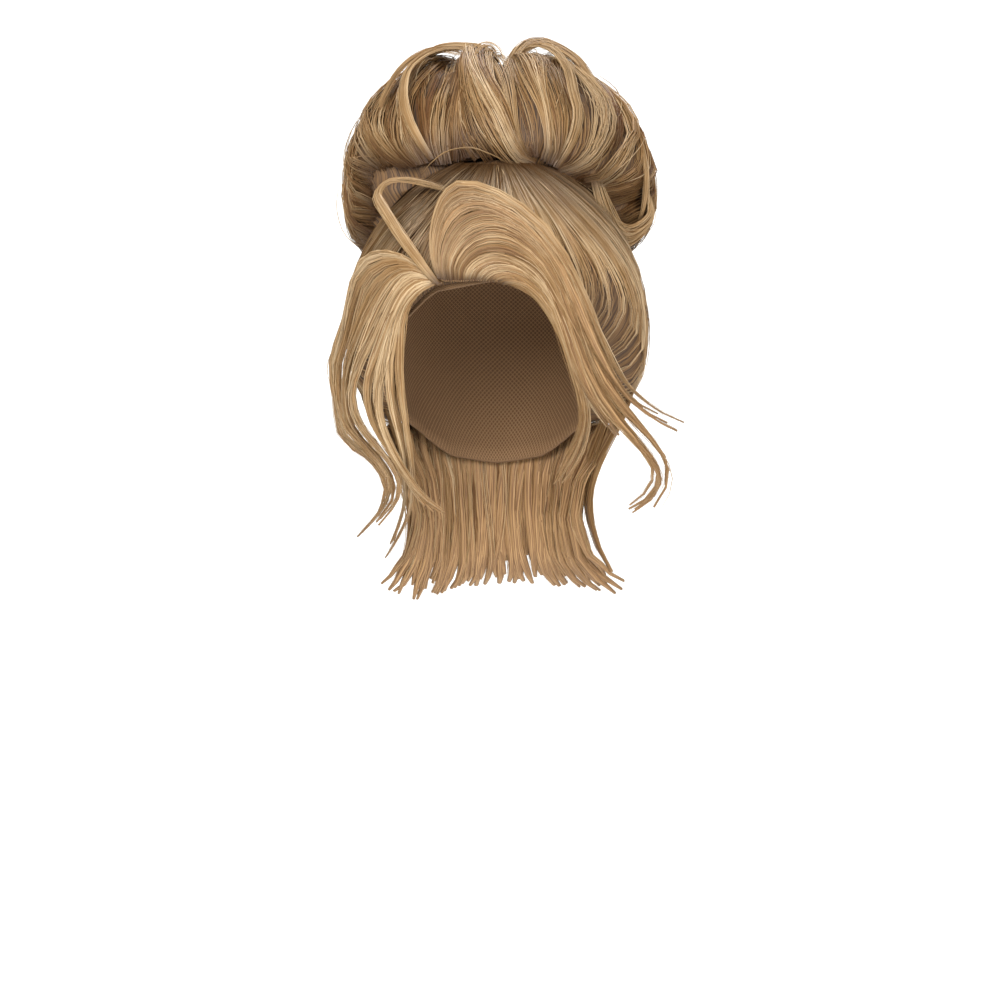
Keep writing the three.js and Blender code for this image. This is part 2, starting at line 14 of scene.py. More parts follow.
import bpy
import numpy as np
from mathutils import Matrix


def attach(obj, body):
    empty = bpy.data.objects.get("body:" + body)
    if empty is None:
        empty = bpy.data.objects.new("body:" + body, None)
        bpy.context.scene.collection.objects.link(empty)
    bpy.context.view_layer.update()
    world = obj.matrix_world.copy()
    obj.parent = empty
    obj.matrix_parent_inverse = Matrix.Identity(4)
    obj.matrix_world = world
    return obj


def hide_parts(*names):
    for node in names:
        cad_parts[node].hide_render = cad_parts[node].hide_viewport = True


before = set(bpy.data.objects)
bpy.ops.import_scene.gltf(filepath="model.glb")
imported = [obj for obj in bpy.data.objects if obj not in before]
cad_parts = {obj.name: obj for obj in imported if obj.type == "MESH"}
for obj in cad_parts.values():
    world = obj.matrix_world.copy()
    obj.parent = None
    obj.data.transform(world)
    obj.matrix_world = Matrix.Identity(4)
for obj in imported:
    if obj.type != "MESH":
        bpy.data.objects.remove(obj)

LOG = logging.getLogger("wig")
MM = 0.001
BODY = "root"
# Times that a traced path's depths are evened out.
DEPTH_PASSES = 3
# A loose single hair: points along it, how far it spreads and how far it starts off the mass.
STRAY_POINTS = 9
STRAY_SPREAD = 0.3 * MM
STRAY_CLEARANCE = 1.5 * MM
# How far hair that would lie in the combed hair is put outside it, and packed under-hair too.
CLEAR = 0.5 * MM
UNDER_CLEAR = 0.4 * MM

Array = np.ndarray
Rows = tuple[tuple[float, float, float], ...]

# Kinds of node that are used often.
MATH = "ShaderNodeMath"
VECTOR = "ShaderNodeVectorMath"
RAMP = "ShaderNodeValToRGB"
NOISE = "ShaderNodeTexNoise"
PRINCIPLED = "ShaderNodeBsdfPrincipled"
NAMED = "GeometryNodeInputNamedAttribute"
STORE = "GeometryNodeStoreNamedAttribute"


class Slot(Enum):
    """The record's material slots."""

    NET = "net"
    HAIR = "hair"
    UNDER_HAIR = "under_hair"


def linear(hex_colour: str) -> tuple[float, float, float, float]:
    """Turns an sRGB hex colour to linear light.

    Args:
        hex_colour: Six hex digits, such as "c9a070".

    Returns:
        Red, green, blue and an alpha of 1.
    """
    levels = [int(hex_colour[i : i + 2], 16) / 255 for i in (0, 2, 4)]
    light = [v / 12.92 if v <= 0.04045 else ((v + 0.055) / 1.055) ** 2.4 for v in levels]
    return (light[0], light[1], light[2], 1.0)


def add_node(tree: bpy.types.NodeTree, kind: str, inputs: dict | None = None, **settings) -> bpy.types.Node:
    """Adds a node with its settings and fills or links its inputs.

    Args:
        tree: The tree that gets the node.
        kind: The node's type.
        inputs: For each input, by name or number, a value, an output socket, or a node whose
            first output is linked.
        **settings: Properties of the node itself.

    Returns:
        The new node.
    """
    node = tree.nodes.new(kind)
    for name, value in settings.items():
        setattr(node, name, value)
    for key, value in (inputs or {}).items():
        if isinstance(value, bpy.types.Node):
            value = value.outputs[0]
        if isinstance(value, bpy.types.NodeSocket):
            tree.links.new(value, node.inputs[key])
        else:
            node.inputs[key].default_value = value
    return node


def unit(vectors: Array) -> Array:
    """Scales vectors along the last axis to length 1."""
    return vectors / np.maximum(np.linalg.norm(vectors, axis=-1, keepdims=True), 1e-12)


def direction(turn: Array | float, dip: Array | float) -> Array:
    """The unit vector at a turn and a dip.

    Args:
        turn: Degrees round from the face towards the wearer's left.
        dip: Degrees above the widest level.

    Returns:
        Unit vectors, one for each pair.
    """
    t, d = np.broadcast_arrays(np.radians(turn), np.radians(dip))
    return np.stack([np.sin(t) * np.cos(d), -np.cos(t) * np.cos(d), np.sin(d)], axis=-1)


def eased(keys: Sequence[float], values: Sequence[float], at: Array | float) -> Array:
    """Reads a table half way between straight lines and a full ease from row to row.

    Args:
        keys: The rows' rising keys.
        values: The rows' values.
        at: Where to read.

    Returns:
        The values there.
    """
    keys, values = np.asarray(keys, float), np.asarray(values, float)
    at = np.clip(np.asarray(at, float), keys[0], keys[-1])
    upper = np.clip(np.searchsorted(keys, at), 1, len(keys) - 1)
    share = (at - keys[upper - 1]) / (keys[upper] - keys[upper - 1])
    share = 0.5 * share + 0.5 * share * share * (3 - 2 * share)
    return values[upper - 1] + (values[upper] - values[upper - 1]) * share


def smoothstep(low: float, high: float, at: Array | float) -> Array:
    """An S-shaped step from 0 at low to 1 at high."""
    share = np.clip((np.asarray(at, float) - low) / (high - low), 0, 1)
    return share * share * (3 - 2 * share)


def add_object(name: str, data: bpy.types.ID) -> bpy.types.Object:
    """Makes an object of a mesh, a lamp or a camera and links it to the scene."""
    made = bpy.data.objects.new(name, data)
    bpy.context.collection.objects.link(made)
    return made


def smooth_path(points: Array, count: int, dense: int = 200) -> Array:
    """Evenly spaced points on a smooth curve through given ones.

    Args:
        points: The curve's own points in rows.
        count: How many points to return.
        dense: Steps taken to measure the curve.

    Returns:
        Points at equal distances from end to end.
    """
    points = np.asarray(points, float)
    ends = np.vstack([2 * points[0] - points[1], points, 2 * points[-1] - points[-2]])
    at = np.linspace(0, len(points) - 1, dense)
    first = np.minimum(at.astype(int), len(points) - 2)
    t = (at - first)[:, None]
    a, b, c, d = (ends[first + i] for i in range(4))
    bend = (2 * a - 5 * b + 4 * c - d) * t + (3 * b - a - 3 * c + d) * t * t
    curve = b + 0.5 * t * (c - a + bend)
    run = np.concatenate([[0], np.cumsum(np.linalg.norm(np.diff(curve, axis=0), axis=1))])
    stops = np.linspace(0, run[-1], count)
    return np.stack([np.interp(stops, run, curve[:, axis]) for axis in range(3)], axis=1)


@dataclass(frozen=True)
class PhotoCamera:
    """The photograph's camera: a long lens a little above the brow, tipped down at the wig."""

    lens_mm: float = 72.0
    film_mm: float = 36.0
    tip_deg: float = 11.0
    place: tuple[float, float, float] = (0.0022, -1.4724, 0.0677)
    picture_px: int = 1000
    # Between how near and how far hair is looked for along a ray.
    nearest: float = 1.2
    farthest: float = 1.8

    def rays(self, pixels: Array) -> Array:
        """Unit directions through pixels of the picture.

        Args:
            pixels: Across and down from the picture's upper left corner, in rows.

        Returns:
            One direction a pixel.
        """
        tip = math.radians(self.tip_deg)
        ahead = np.array([0, math.cos(tip), -math.sin(tip)])
        up = np.array([0, math.sin(tip), math.cos(tip)])
        focal = self.lens_mm / self.film_mm * self.picture_px
        spots = (pixels - self.picture_px / 2) / focal
        return unit(ahead + spots[:, :1] * np.array([1.0, 0, 0]) - spots[:, 1:] * up)

    def on_planes(self, rows: Rows) -> Array:
        """Finds the points behind pixels at given depths.

        Args:
            rows: Pixels across and down, with millimetres behind the head's front-to-back zero.

        Returns:
            A point for each row.
        """
        table = np.array(rows, float)
        rays = self.rays(table[:, :2])
        far = (table[:, 2] * MM - self.place[1]) / rays[:, 1]
        return np.array(self.place) + far[:, None] * rays

    def build(self) -> None:
        """Puts the camera in the scene and makes it the one in use."""
        data = bpy.data.cameras.new("photo_camera")
        data.lens, data.sensor_width = self.lens_mm, self.film_mm
        data.clip_start, data.clip_end = 0.05, 20
        camera = add_object("photo_camera", data)
        camera.location = self.place
        camera.rotation_euler = (math.radians(90 - self.tip_deg), 0, 0)
        bpy.context.scene.camera = camera


class Surface:
    """A closed form round a middle point, given by its distance from there each way."""

    @property
    def middle(self) -> Array:
        """The point that distances are taken from."""
        raise NotImplementedError

    def distance(self, way: Array) -> Array:
        """Distance from the middle to the surface along unit directions."""
        raise NotImplementedError

    def outward(self, points: Array) -> Array:
        """Unit directions away from the middle."""
        return unit(points - self.middle)

    def stand(self, points: Array) -> Array:
        """How far points stand off the surface."""
        return np.linalg.norm(points - self.middle, axis=-1) - self.distance(self.outward(points))

    def settled(self, points: Array, stand: Array | float) -> Array:
        """Moves points along their own direction until they stand so far off the surface."""
        way = self.outward(points)
        return self.middle + way * (self.distance(way) + stand)[..., None]

    def cast(self, camera: PhotoCamera, rows: Rows) -> Array:
        """Finds the places that rows of pixels and stands mean.

        Args:
            camera: The camera that the pixels belong to.
            rows: Pixels across and down, with millimetres off the surface.

        Returns:
            A point for each row, whose depths run evenly between the first and the last.
        """
        table = np.array(rows, float)
        depths = np.arange(camera.nearest, camera.farthest, MM)
        rays = camera.rays(table[:, :2])
        paths = np.array(camera.place) + depths[None, :, None] * rays[:, None, :]
        gaps = self.stand(paths) - table[:, 2:] * MM
        hit = gaps < 0
        far = depths[np.where(hit.any(axis=1), hit.argmax(axis=1), gaps.argmin(axis=1))]
        for _ in range(DEPTH_PASSES):
            far[1:-1] = (far[:-2] + 2 * far[1:-1] + far[2:]) / 4
        return np.array(camera.place) + far[:, None] * rays


@dataclass(frozen=True)
class Oval(Surface):
    """A lopsided oval round the head's middle, by its reach each way."""

    centre: tuple[float, float, float]
    side: float
    front: float
    back: float
    up: float
    down: float

    @property
    def middle(self) -> Array:
        """The middle of the oval."""
        return np.array(self.centre)

    def distance(self, way: Array) -> Array:
        """Distance from the middle to the surface along unit directions."""
        length = np.where(way[..., 1] < 0, self.front, self.back)
        height = np.where(way[..., 2] > 0, self.up, self.down)
        scaled = np.stack([way[..., 0] / self.side, way[..., 1] / length, way[..., 2] / height], axis=-1)
        return 1 / np.linalg.norm(scaled, axis=-1)


@dataclass(frozen=True)
class HeadForm:
    """The head that the cap fits, and the hair combed up over it."""

    width: float = 0.154
    length: float = 0.190
    crown: float = 0.095
    drop: float = 0.130
    set_back: float = 0.008
    net: float = 0.0018
    edge: float = 0.0038
    front_hair: float = 0.009
    back_hair: float = 0.021
    side_hair: float = 0.033
    top_hair: float = 0.036
    lower_hair: float = 0.010
    rim_turns: tuple[float, ...] = (0, 30, 52, 70, 88, 105, 145, 180)
    net_rim: tuple[float, ...] = (29, 25, 12, -12, -34, -47, -60, -62)
    hair_rim: tuple[float, ...] = (31, 27, 14, -10, -32, -43, -50, -51)
    blend: tuple[float, ...] = (24, 24, 22, 20, 15, 11, 11, 11)

    @property
    def middle(self) -> Array:
        """The middle of the head."""
        return np.array([0, self.set_back, -self.crown])

    @property
    def half_hair(self) -> float:
        """Half the width of the head with its hair."""
        return self.width / 2 + self.side_hair

    @property
    def head_oval(self) -> Oval:
        """The head itself."""
        half = self.length / 2
        return Oval(tuple(self.middle), self.width / 2, half, half, self.crown, self.drop)

    @property
    def hair_oval(self) -> Oval:
        """The head with its full depth of hair."""
        front = self.length / 2 + self.front_hair
        back = self.length / 2 + self.back_hair
        up = self.crown + self.top_hair
        return Oval(tuple(self.middle), self.half_hair, front, back, up, self.drop + self.lower_hair)

    def rim(self, turn: Array | float, dips: Sequence[float]) -> Array:
        """An edge's dip at a turn, the same on both sides."""
        return eased(self.rim_turns, dips, np.abs((np.asarray(turn, float) + 180) % 360 - 180))

    def net_reach(self, turn: Array, dip: Array) -> Array:
        """Distance from the middle to the outside of the net."""
        return self.head_oval.distance(direction(turn, dip)) + self.net

    def crown_reach(self, turn: Array, dip: Array) -> Array:
        """Distance from the middle to the surface of the combed hair."""
        start = self.net_reach(turn, dip) + self.edge
        full = np.maximum(start, self.hair_oval.distance(direction(turn, dip)))
        gained = np.clip((dip - self.rim(turn, self.hair_rim)) / self.rim(turn, self.blend), 0, 1)
        return start + (full - start) * np.sin(gained * math.pi / 2)

    def at(self, turn: Array, dip: Array, distance: Array) -> Array:
        """Points at a turn, a dip and a distance from the middle."""
        return self.middle + direction(turn, dip) * np.asarray(distance)[..., None]

    def grid(self, columns: int, rows: int, dips: Sequence[float]) -> tuple[Array, Array]:
        """Lays a grid from the head's top down to an edge.

        Args:
            columns: Columns round the head.
            rows: Rows from the top down, without the top itself.
            dips: The edge's dips at the rim turns.

        Returns:
            The turn and the dip of every point.
        """
        turns = np.arange(columns) * 360 / columns
        shares = np.arange(1, rows + 1) / rows
        grid_dips = 90 + (self.rim(turns, dips)[None, :] - 90) * shares[:, None]
        return np.broadcast_to(turns, grid_dips.shape), grid_dips

    def lifted(self, points: Array, clearance: float) -> Array:
        """Pushes points that lie in the combed hair out to its surface.

        Args:
            points: Any points.
            clearance: How far outside the surface they end.

        Returns:
            The points, moved only where they lay inside.
        """
        away = points - self.middle
        way = unit(away)
        turn = np.degrees(np.arctan2(way[..., 0], -way[..., 1]))
        dip = np.degrees(np.arcsin(np.clip(way[..., 2], -1, 1)))
        least = self.crown_reach(turn, dip) + clearance
        return self.middle + way * np.maximum(np.linalg.norm(away, axis=-1), least)[..., None]


@dataclass(frozen=True)
class BunForm(Surface):
    """The bun's smooth outer shape about its own leaning axis."""

    head: HeadForm
    tilt: float = 28.0
    lift: float = 0.119
    front: float = 0.106
    side: float = 0.118
    back: float = 0.093
    top: float = 0.112
    gather: float = 0.008
    opens: tuple[float, ...] = (0, 14, 32, 55, 75, 92, 104, 118, 134, 180)
    fronts: tuple[float, ...] = (0.68, 0.76, 0.91, 1.02, 1.02, 0.96, 0.79, 0.62, 0.5, 0.45)
    sides: tuple[float, ...] = (0.68, 0.77, 0.87, 0.91, 0.97, 1.0, 1.0, 0.96, 0.76, 0.42)
    backs: tuple[float, ...] = (0.8, 0.98, 1.1, 1.08, 1.02, 0.99, 0.97, 0.9, 0.76, 0.52)
    # Where the hair is drawn in from crease to top: turn, depth share and half width.
    gathers: Rows = (
        (7, 1.1, 9),
        (31, 0.6, 7),
        (54, 0.8, 8),
        (75, 0.5, 7),
        (108, 0.8, 9),
        (142, 0.6, 10),
        (177, 0.9, 10),
        (212, 0.6, 10),
        (248, 0.8, 9),
        (288, 0.5, 8),
        (311, 0.8, 8),
        (336, 0.7, 8),
    )

    @property
    def axis(self) -> Array:
        """The way that the bun's axis points."""
        lean = math.radians(self.tilt)
        return np.array([0, math.sin(lean), math.cos(lean)])

    @property
    def forward(self) -> Array:
        """The way from the axis towards the face."""
        lean = math.radians(self.tilt)
        return np.array([0, -math.cos(lean), math.sin(lean)])

    @property
    def middle(self) -> Array:
        """The middle of the bun."""
        return self.head.middle + self.axis * self.lift

    def reach(self, turn: Array, opened: Array) -> Array:
        """Distance from the bun's middle to its surface."""
        ahead = np.cos(np.radians(turn))
        crown = np.cos(np.radians(np.minimum(90, opened))) ** 2
        fore = eased(self.opens, self.fronts, opened)
        end = np.where(ahead > 0, self.front * fore, self.back * eased(self.opens, self.backs, opened))
        flank = self.side * eased(self.opens, self.sides, opened)
        ring = flank + (end - flank) * ahead * ahead
        full = ring + (self.top * fore - ring) * crown * crown
        sunk = 0
        for turn_at, depth, width in self.gathers:
            away = (turn - turn_at + 180) % 360 - 180
            sunk = sunk + depth * np.exp(-((away / width) ** 2))
        return full - self.gather * sunk * np.sqrt(np.sin(np.radians(opened)))

    def angles(self, way: Array) -> tuple[Array, Array]:
        """The turn and open angle of unit directions from the bun's middle."""
        opened = np.degrees(np.arccos(np.clip(way @ self.axis, -1, 1)))
        return np.degrees(np.arctan2(way[..., 0], way @ self.forward)), opened

    def distance(self, way: Array) -> Array:
        """Distance from the middle to the surface along unit directions."""
        return self.reach(*self.angles(way))

    def at(self, turn: Array | float, opened: Array | float, stand: Array | float = 0.0) -> Array:
        """Points that stand off the bun's surface at a turn and an open angle."""
        turn, opened = np.broadcast_arrays(np.asarray(turn, float), np.asarray(opened, float))
        t, o = np.radians(turn), np.radians(opened)
        way = (
            np.cos(o)[..., None] * self.axis
            + (np.sin(o) * np.cos(t))[..., None] * self.forward
            + (np.sin(o) * np.sin(t))[..., None] * np.array([1.0, 0, 0])
        )
        return self.middle + way * np.asarray(self.reach(turn, opened) + stand)[..., None]


@dataclass
class Lock:
    """One lock of hair: a path with the size of its oval section along it."""

    centre: Array
    outward: Array
    half_width: Array
    half_depth: Array
    strands: int
    tone: float

    @property
    def across(self) -> Array:
        """Unit directions across the lock, level with what carries it."""
        return unit(np.cross(unit(np.gradient(self.centre, axis=0)), self.outward))


@dataclass(frozen=True)
class Layout:
    """How a family of locks is laid over a surface."""

    locks: int
    strands: int
    points: int = 16
    # A lock's width beside the room that it has, and half its depth.
    overlap: float = 1.7
    depth: float = 2.5 * MM
    # How far it sways, as a share of that room, and how far it may stand in or out.
    wander: float = 0.4
    lift: float = 1.2 * MM
    # Its width at the root and at the tip beside its middle, and the least half width.
    root: float = 0.8
    tip: float = 0.35
    least: float = 1.0 * MM
    # The shortest lock's share of the full length.
    shortest: float = 1.0
    # How far the tones spread, and a painted light shift added to all of them: a region made lighter or
    # darker for how the light falls on it.
    tones: float = 0.1
    painted_light_shift: float = 0.0
    seed: int = 1


@dataclass(frozen=True)
class Flow:
    """Hair that runs over a surface.

    The path gives points for places across the surface, shares along it and a lock's own place.
    Outward gives the direction away from what carries the hair, and the span is the first and the
    last place.
    """

    path: Callable[[Array, Array, float], Array]
    outward: Callable[[Array], Array]
    span: tuple[float, float]

    def locks(
        self,
        layout: Layout,
        tone: Callable[[float], float] = lambda place: 0.5,
        stops: Array | None = None,
    ) -> list[Lock]:
        """Lays locks side by side.

        Args:
            layout: Numbers and sizes.
            tone: Gives a lock's tone from its place.
            stops: Shares along the path for a lock's points, or none for even ones.

        Returns:
            The locks, in order across the surface.
        """
        rng = np.random.default_rng(layout.seed)
        first, last = self.span
        along = np.linspace(0, 1, layout.points) if stops is None else stops
        step = (last - first) / layout.locks
        bell = np.sin(math.pi * along) ** 0.6
        ends = np.interp(along, [0, 0.12, 0.7, 1], [layout.root, 1, 1, layout.tip])
        locks = []
        for number in range(layout.locks):
            place = first + (number + 0.5 + rng.uniform(-0.3, 0.3)) * step
            phase = rng.uniform(0, 2 * math.pi, 2)
            sway = np.sin(along * 3.3 + phase[0]) + 0.6 * np.sin(along * 7.1 + phase[1])
            run = along * (1 - (1 - layout.shortest) * rng.uniform() ** 1.5)
            spots = np.clip(place + layout.wander * step * sway * bell, first, last)
            low, centre, high = (
                self.path(np.clip(spots + shift * step, first, last), run, place) for shift in (-0.5, 0, 0.5)
            )
            width = 0.5 * np.linalg.norm(high - low, axis=1) * layout.overlap * rng.uniform(0.8, 1.25)
            away = self.outward(centre)
            centre = centre + away * (rng.uniform(-1, 1) * layout.lift * bell)[:, None]
            # A lock's tone, with its region's painted light shift.
            shade = tone(place) + layout.painted_light_shift + layout.tones * rng.normal()
            width = np.maximum(width * ends, layout.least)
            deep = layout.depth * ends * rng.uniform(0.8, 1.2)
            shade = float(np.clip(shade, 0.05, 0.95))
            locks.append(Lock(centre, away, width, deep, layout.strands, shade))
        return locks

    def strays(self, count: int, rise: float, seed: int) -> list[Lock]:
        """Makes single hairs that leave the mass, arch over it and drift across it.

        Args:
            count: How many hairs.
            rise: The highest that one stands off the mass.
            seed: Seed of the random numbers.

        Returns:
            One lock a hair, each of a single strand.
        """
        rng = np.random.default_rng(seed)
        share = np.linspace(0, 1, STRAY_POINTS)
        thin = np.full(STRAY_POINTS, STRAY_SPREAD)
        hairs = []
        for place in rng.uniform(*self.span, count):
            start, run = rng.uniform(0, 0.75), rng.uniform(0.12, 0.35)
            drift = rng.normal() * 0.02 * (self.span[1] - self.span[0])
            spots = np.clip(place + drift * share, *self.span)
            centre = self.path(spots, np.minimum(start + run * share, 1), place)
            away = self.outward(centre)
            arch = np.sin(share * math.pi * rng.choice([0.5, 0.7, 1.0]))
            centre = centre + away * (STRAY_CLEARANCE + rise * rng.uniform(0.2, 1) * arch)[:, None]
            hairs.append(Lock(centre, away, thin, thin, 1, rng.uniform(0.4, 0.8)))
        return hairs


@dataclass
class SkinParts:
    """Closed skins gathered into one mesh, each with a map that follows the hair's flow."""

    points: list[Array] = field(default_factory=list)
    faces: list[tuple[int, ...]] = field(default_factory=list)
    flow: list[tuple[float, float]] = field(default_factory=list)
    count: int = 0

    def add_rings(self, rings: Array, first: Array, last: Array, across: float, along: float) -> None:
        """Adds a closed skin through rings of points, with a pole at each end.

        Args:
            rings: Points by ring and column, whose columns close on themselves.
            first: The pole before the first ring.
            last: The pole after the last ring.
            across: Width that the map gives to all columns together.
            along: Length that the map gives to all rings together.
        """
        rows, columns = rings.shape[:2]
        start = self.count
        every = np.vstack([rings.reshape(-1, 3), first, last])
        self.points.append(every)
        self.count += len(every)
        faces, flow = [], []
        share = np.arange(columns + 1) / columns * across
        fall = np.arange(rows) / max(1, rows - 1) * along
        for i in range(columns):
            j = (i + 1) % columns
            faces.append((rows * columns, i, j))
            flow.append(((share[i], 0), (share[i], fall[0]), (share[i + 1], fall[0])))
            for row in range(rows - 1):
                a, b = row * columns + i, row * columns + j
                faces.append((a, a + columns, b + columns, b))
                corners = ((i, row), (i, row + 1), (i + 1, row + 1), (i + 1, row))
                flow.append(tuple((share[c], fall[r]) for c, r in corners))
            tail = (rows - 1) * columns
            faces.append((tail + j, tail + i, rows * columns + 1))
            flow.append(((share[i + 1], fall[-1]), (share[i], fall[-1]), (share[i], along)))
        a, b, c = (every[[face[k] for face in faces]] for k in range(3))
        outwards = np.einsum("ij,ij->", a, np.cross(b, c)) > 0
        for face, spots in zip(faces, flow):
            order = range(len(face)) if outwards else range(len(face) - 1, -1, -1)
            self.faces.append(tuple(start + face[k] for k in order))
            self.flow.extend(spots[k] for k in order)

    def add_locks(
        self, locks: Sequence[Lock], share: float, sides: int = 8, across: float = 0.03, along: float = 0.2
    ) -> None:
        """Adds a closed core for each lock, so that no light falls through it.

        Args:
            locks: The locks.
            share: The core's size beside the lock's.
            sides: Corners of its section.
            across: Width that the map gives to a core.
            along: Length that the map gives to a core.
        """
        angles = np.linspace(0, 2 * math.pi, sides, endpoint=False)[None, :, None]
        for lock in locks:
            side = lock.across
            up = np.cross(side, unit(np.gradient(lock.centre, axis=0)))
            wide = (share * lock.half_width)[:, None, None] * side[:, None, :]
            deep = (share * lock.half_depth)[:, None, None] * up[:, None, :]
            rings = lock.centre[:, None, :] + np.cos(angles) * wide + np.sin(angles) * deep
            self.add_rings(rings, lock.centre[0], lock.centre[-1], across, along)

    def build(self, name: str, material: bpy.types.Material) -> bpy.types.Object:
        """Makes the object of all the skins so far.

        Args:
            name: The piece's name.
            material: Its finish.

        Returns:
            The object, linked to the scene.
        """
        mesh = bpy.data.meshes.new(name)
        mesh.from_pydata(np.vstack(self.points), [], self.faces)
        layer = mesh.uv_layers.new(name="HairFlow")
        layer.data.foreach_set("uv", np.array(self.flow, float).ravel())
        mesh.materials.append(material)
        mesh.polygons.foreach_set("use_smooth", [True] * len(mesh.polygons))
        return add_object(name, mesh)


@dataclass(frozen=True)
class StrandStyle:
    """Sizes of the strands in one piece, and their finish."""

    material: bpy.types.Material
    radius: float = 0.3 * MM
    # How far strands bend off their path, and how quickly along it.
    frizz: float = 1.6 * MM
    frizz_scale: float = 14.0
    # How many strands draw together, and how closely.
    clump: int = 5
    tightness: float = 0.7
    # The most that a strand is cut short, and how far up from the root it carries painted shade, as shares of
    # its length.
    shortening: float = 0.06
    root_painted_shade: float = 0.16
    seed: int = 3

    def inputs(self) -> dict[str, object]:
        """The strand tree's inputs by name."""
        return {
            "Strand radius": self.radius,
            "Frizz": self.frizz,
            "Frizz scale": self.frizz_scale,
            "Clump size": self.clump,
            "Tightness": self.tightness,
            "Shortening": self.shortening,
            "Dark root": self.root_painted_shade,
            "Seed": self.seed,
            "Material": self.material,
        }


class StrandTree:
    """The Geometry Nodes tree that fills locks with fine tapering strands."""

    INPUTS = (
        ("Strand radius", "NodeSocketFloat"),
        ("Frizz", "NodeSocketFloat"),
        ("Frizz scale", "NodeSocketFloat"),
        ("Clump size", "NodeSocketInt"),
        ("Tightness", "NodeSocketFloat"),
        ("Shortening", "NodeSocketFloat"),
        ("Dark root", "NodeSocketFloat"),
        ("Seed", "NodeSocketInt"),
        ("Material", "NodeSocketMaterial"),
    )
    # One random number from 0 to 1 for each strand, and for each clump of them.
    STRAND_CHANCES = ("spread", "height", "shade", "rarity", "cut")
    CLUMP_CHANCES = ("clump_shade", "clump_height")
    # How clumps gather: late along the strand, but a little from the root on.
    GATHER_POWER = 1.3
    GATHER_LEAST = 0.12
    # How far a lock's light turns from its middle to its edge.
    BULGE = 0.8
    # How a few strands stray: by how much more than the rest, and how rarely.
    WILD_GAIN = 6.0
    WILD_POWER = 14.0
    # How far apart two strands lie in the noise, and how soon after the root all may bend.
    NOISE_STEP = 7.0
    BEND_GAIN = 5.0
    # The range of tones from strand to strand and from clump to clump.
    STRAND_TONES = 0.3
    CLUMP_TONES = 0.22
    # A strand is full up to where the straight line from start by slope falls under 1.
    TAPER_START = 2.4
    TAPER_SLOPE = -2.2
    # Corners of a strand's section.
    SIDES = 3
    # Keeps the clumps of one lock apart from those of the next, and one kind of chance from another.
    CLUMP_STRIDE = 131.0
    FIRST_CHANCE = 10.0
    # The square of how far across the lock its oval section closes, a little past its edge.
    SECTION_REACH = 1.05

    def __init__(self) -> None:
        """Builds the tree once."""
        self.tree = bpy.data.node_groups.new("lock_strands", "GeometryNodeTree")
        face = self.tree.interface
        face.new_socket("Geometry", in_out="INPUT", socket_type="NodeSocketGeometry")
        self.sockets = {
            name: face.new_socket(name, in_out="INPUT", socket_type=kind).identifier
            for name, kind in self.INPUTS
        }
        face.new_socket("Geometry", in_out="OUTPUT", socket_type="NodeSocketGeometry")
        self.source = add_node(self.tree, "NodeGroupInput").outputs
        self.finish(self.tubes(self.moved(self.copied())))

    def copied(self) -> bpy.types.NodeSocket:
        """Copies each lock's path once a strand, with the chances and the place of each strand."""
        tree, source = self.tree, self.source
        curves = add_node(tree, "GeometryNodeMeshToCurve", {0: source["Geometry"]})
        index = add_node(tree, "GeometryNodeInputIndex")
        number = {"data_type": "INT", "domain": "CURVE"}
        value = {"data_type": "FLOAT", "domain": "CURVE"}
        curves = add_node(tree, STORE, {"Geometry": curves, "Name": "lock", "Value": index}, **number)
        amount = add_node(tree, NAMED, {"Name": "strands"}, data_type="INT")
        copies = add_node(
            tree, "GeometryNodeDuplicateElements", {"Geometry": curves, "Amount": amount}, domain="SPLINE"
        )
        copy_number = copies.outputs["Duplicate Index"]
        clump_share = add_node(tree, MATH, {0: copy_number, 1: source["Clump size"]}, operation="DIVIDE")
        clump = add_node(tree, MATH, {0: clump_share}, operation="FLOOR")
        lock = add_node(tree, NAMED, {"Name": "lock"}, data_type="INT")
        inputs = {0: lock, 1: self.CLUMP_STRIDE, 2: clump}
        clump_name = add_node(tree, MATH, inputs, operation="MULTIPLY_ADD")
        curves = copies.outputs["Geometry"]
        for ident, labels in ((index, self.STRAND_CHANCES), (clump_name, self.CLUMP_CHANCES)):
            for step, label in enumerate(labels):
                inputs = {0: source["Seed"], 1: self.FIRST_CHANCE + step}
                seed = add_node(tree, MATH, inputs, operation="ADD")
                inputs = {"ID": ident, "Seed": seed}
                chance = add_node(tree, "FunctionNodeRandomValue", inputs, data_type="FLOAT").outputs[1]
                curves = add_node(tree, STORE, {"Geometry": curves, "Name": label, "Value": chance}, **value)
        spread = add_node(tree, NAMED, {"Name": "spread"}, data_type="FLOAT")
        middle = add_node(tree, MATH, {0: clump, 1: 0.5}, operation="ADD")
        middle = add_node(tree, MATH, {0: middle, 1: source["Clump size"]}, operation="MULTIPLY")
        place = add_node(tree, MATH, {0: copy_number, 1: spread}, operation="ADD")
        for label, ordinal in (("clump_place", middle), ("strand_place", place)):
            share = add_node(tree, MATH, {0: ordinal, 1: amount}, operation="DIVIDE")
            signed = add_node(tree, MATH, {0: share, 1: 2.0, 2: -1.0}, operation="MULTIPLY_ADD")
            near = add_node(tree, MATH, {0: signed, 1: 1.0}, operation="MINIMUM")
            curves = add_node(tree, STORE, {"Geometry": curves, "Name": label, "Value": near}, **value)
        return curves.outputs[0]

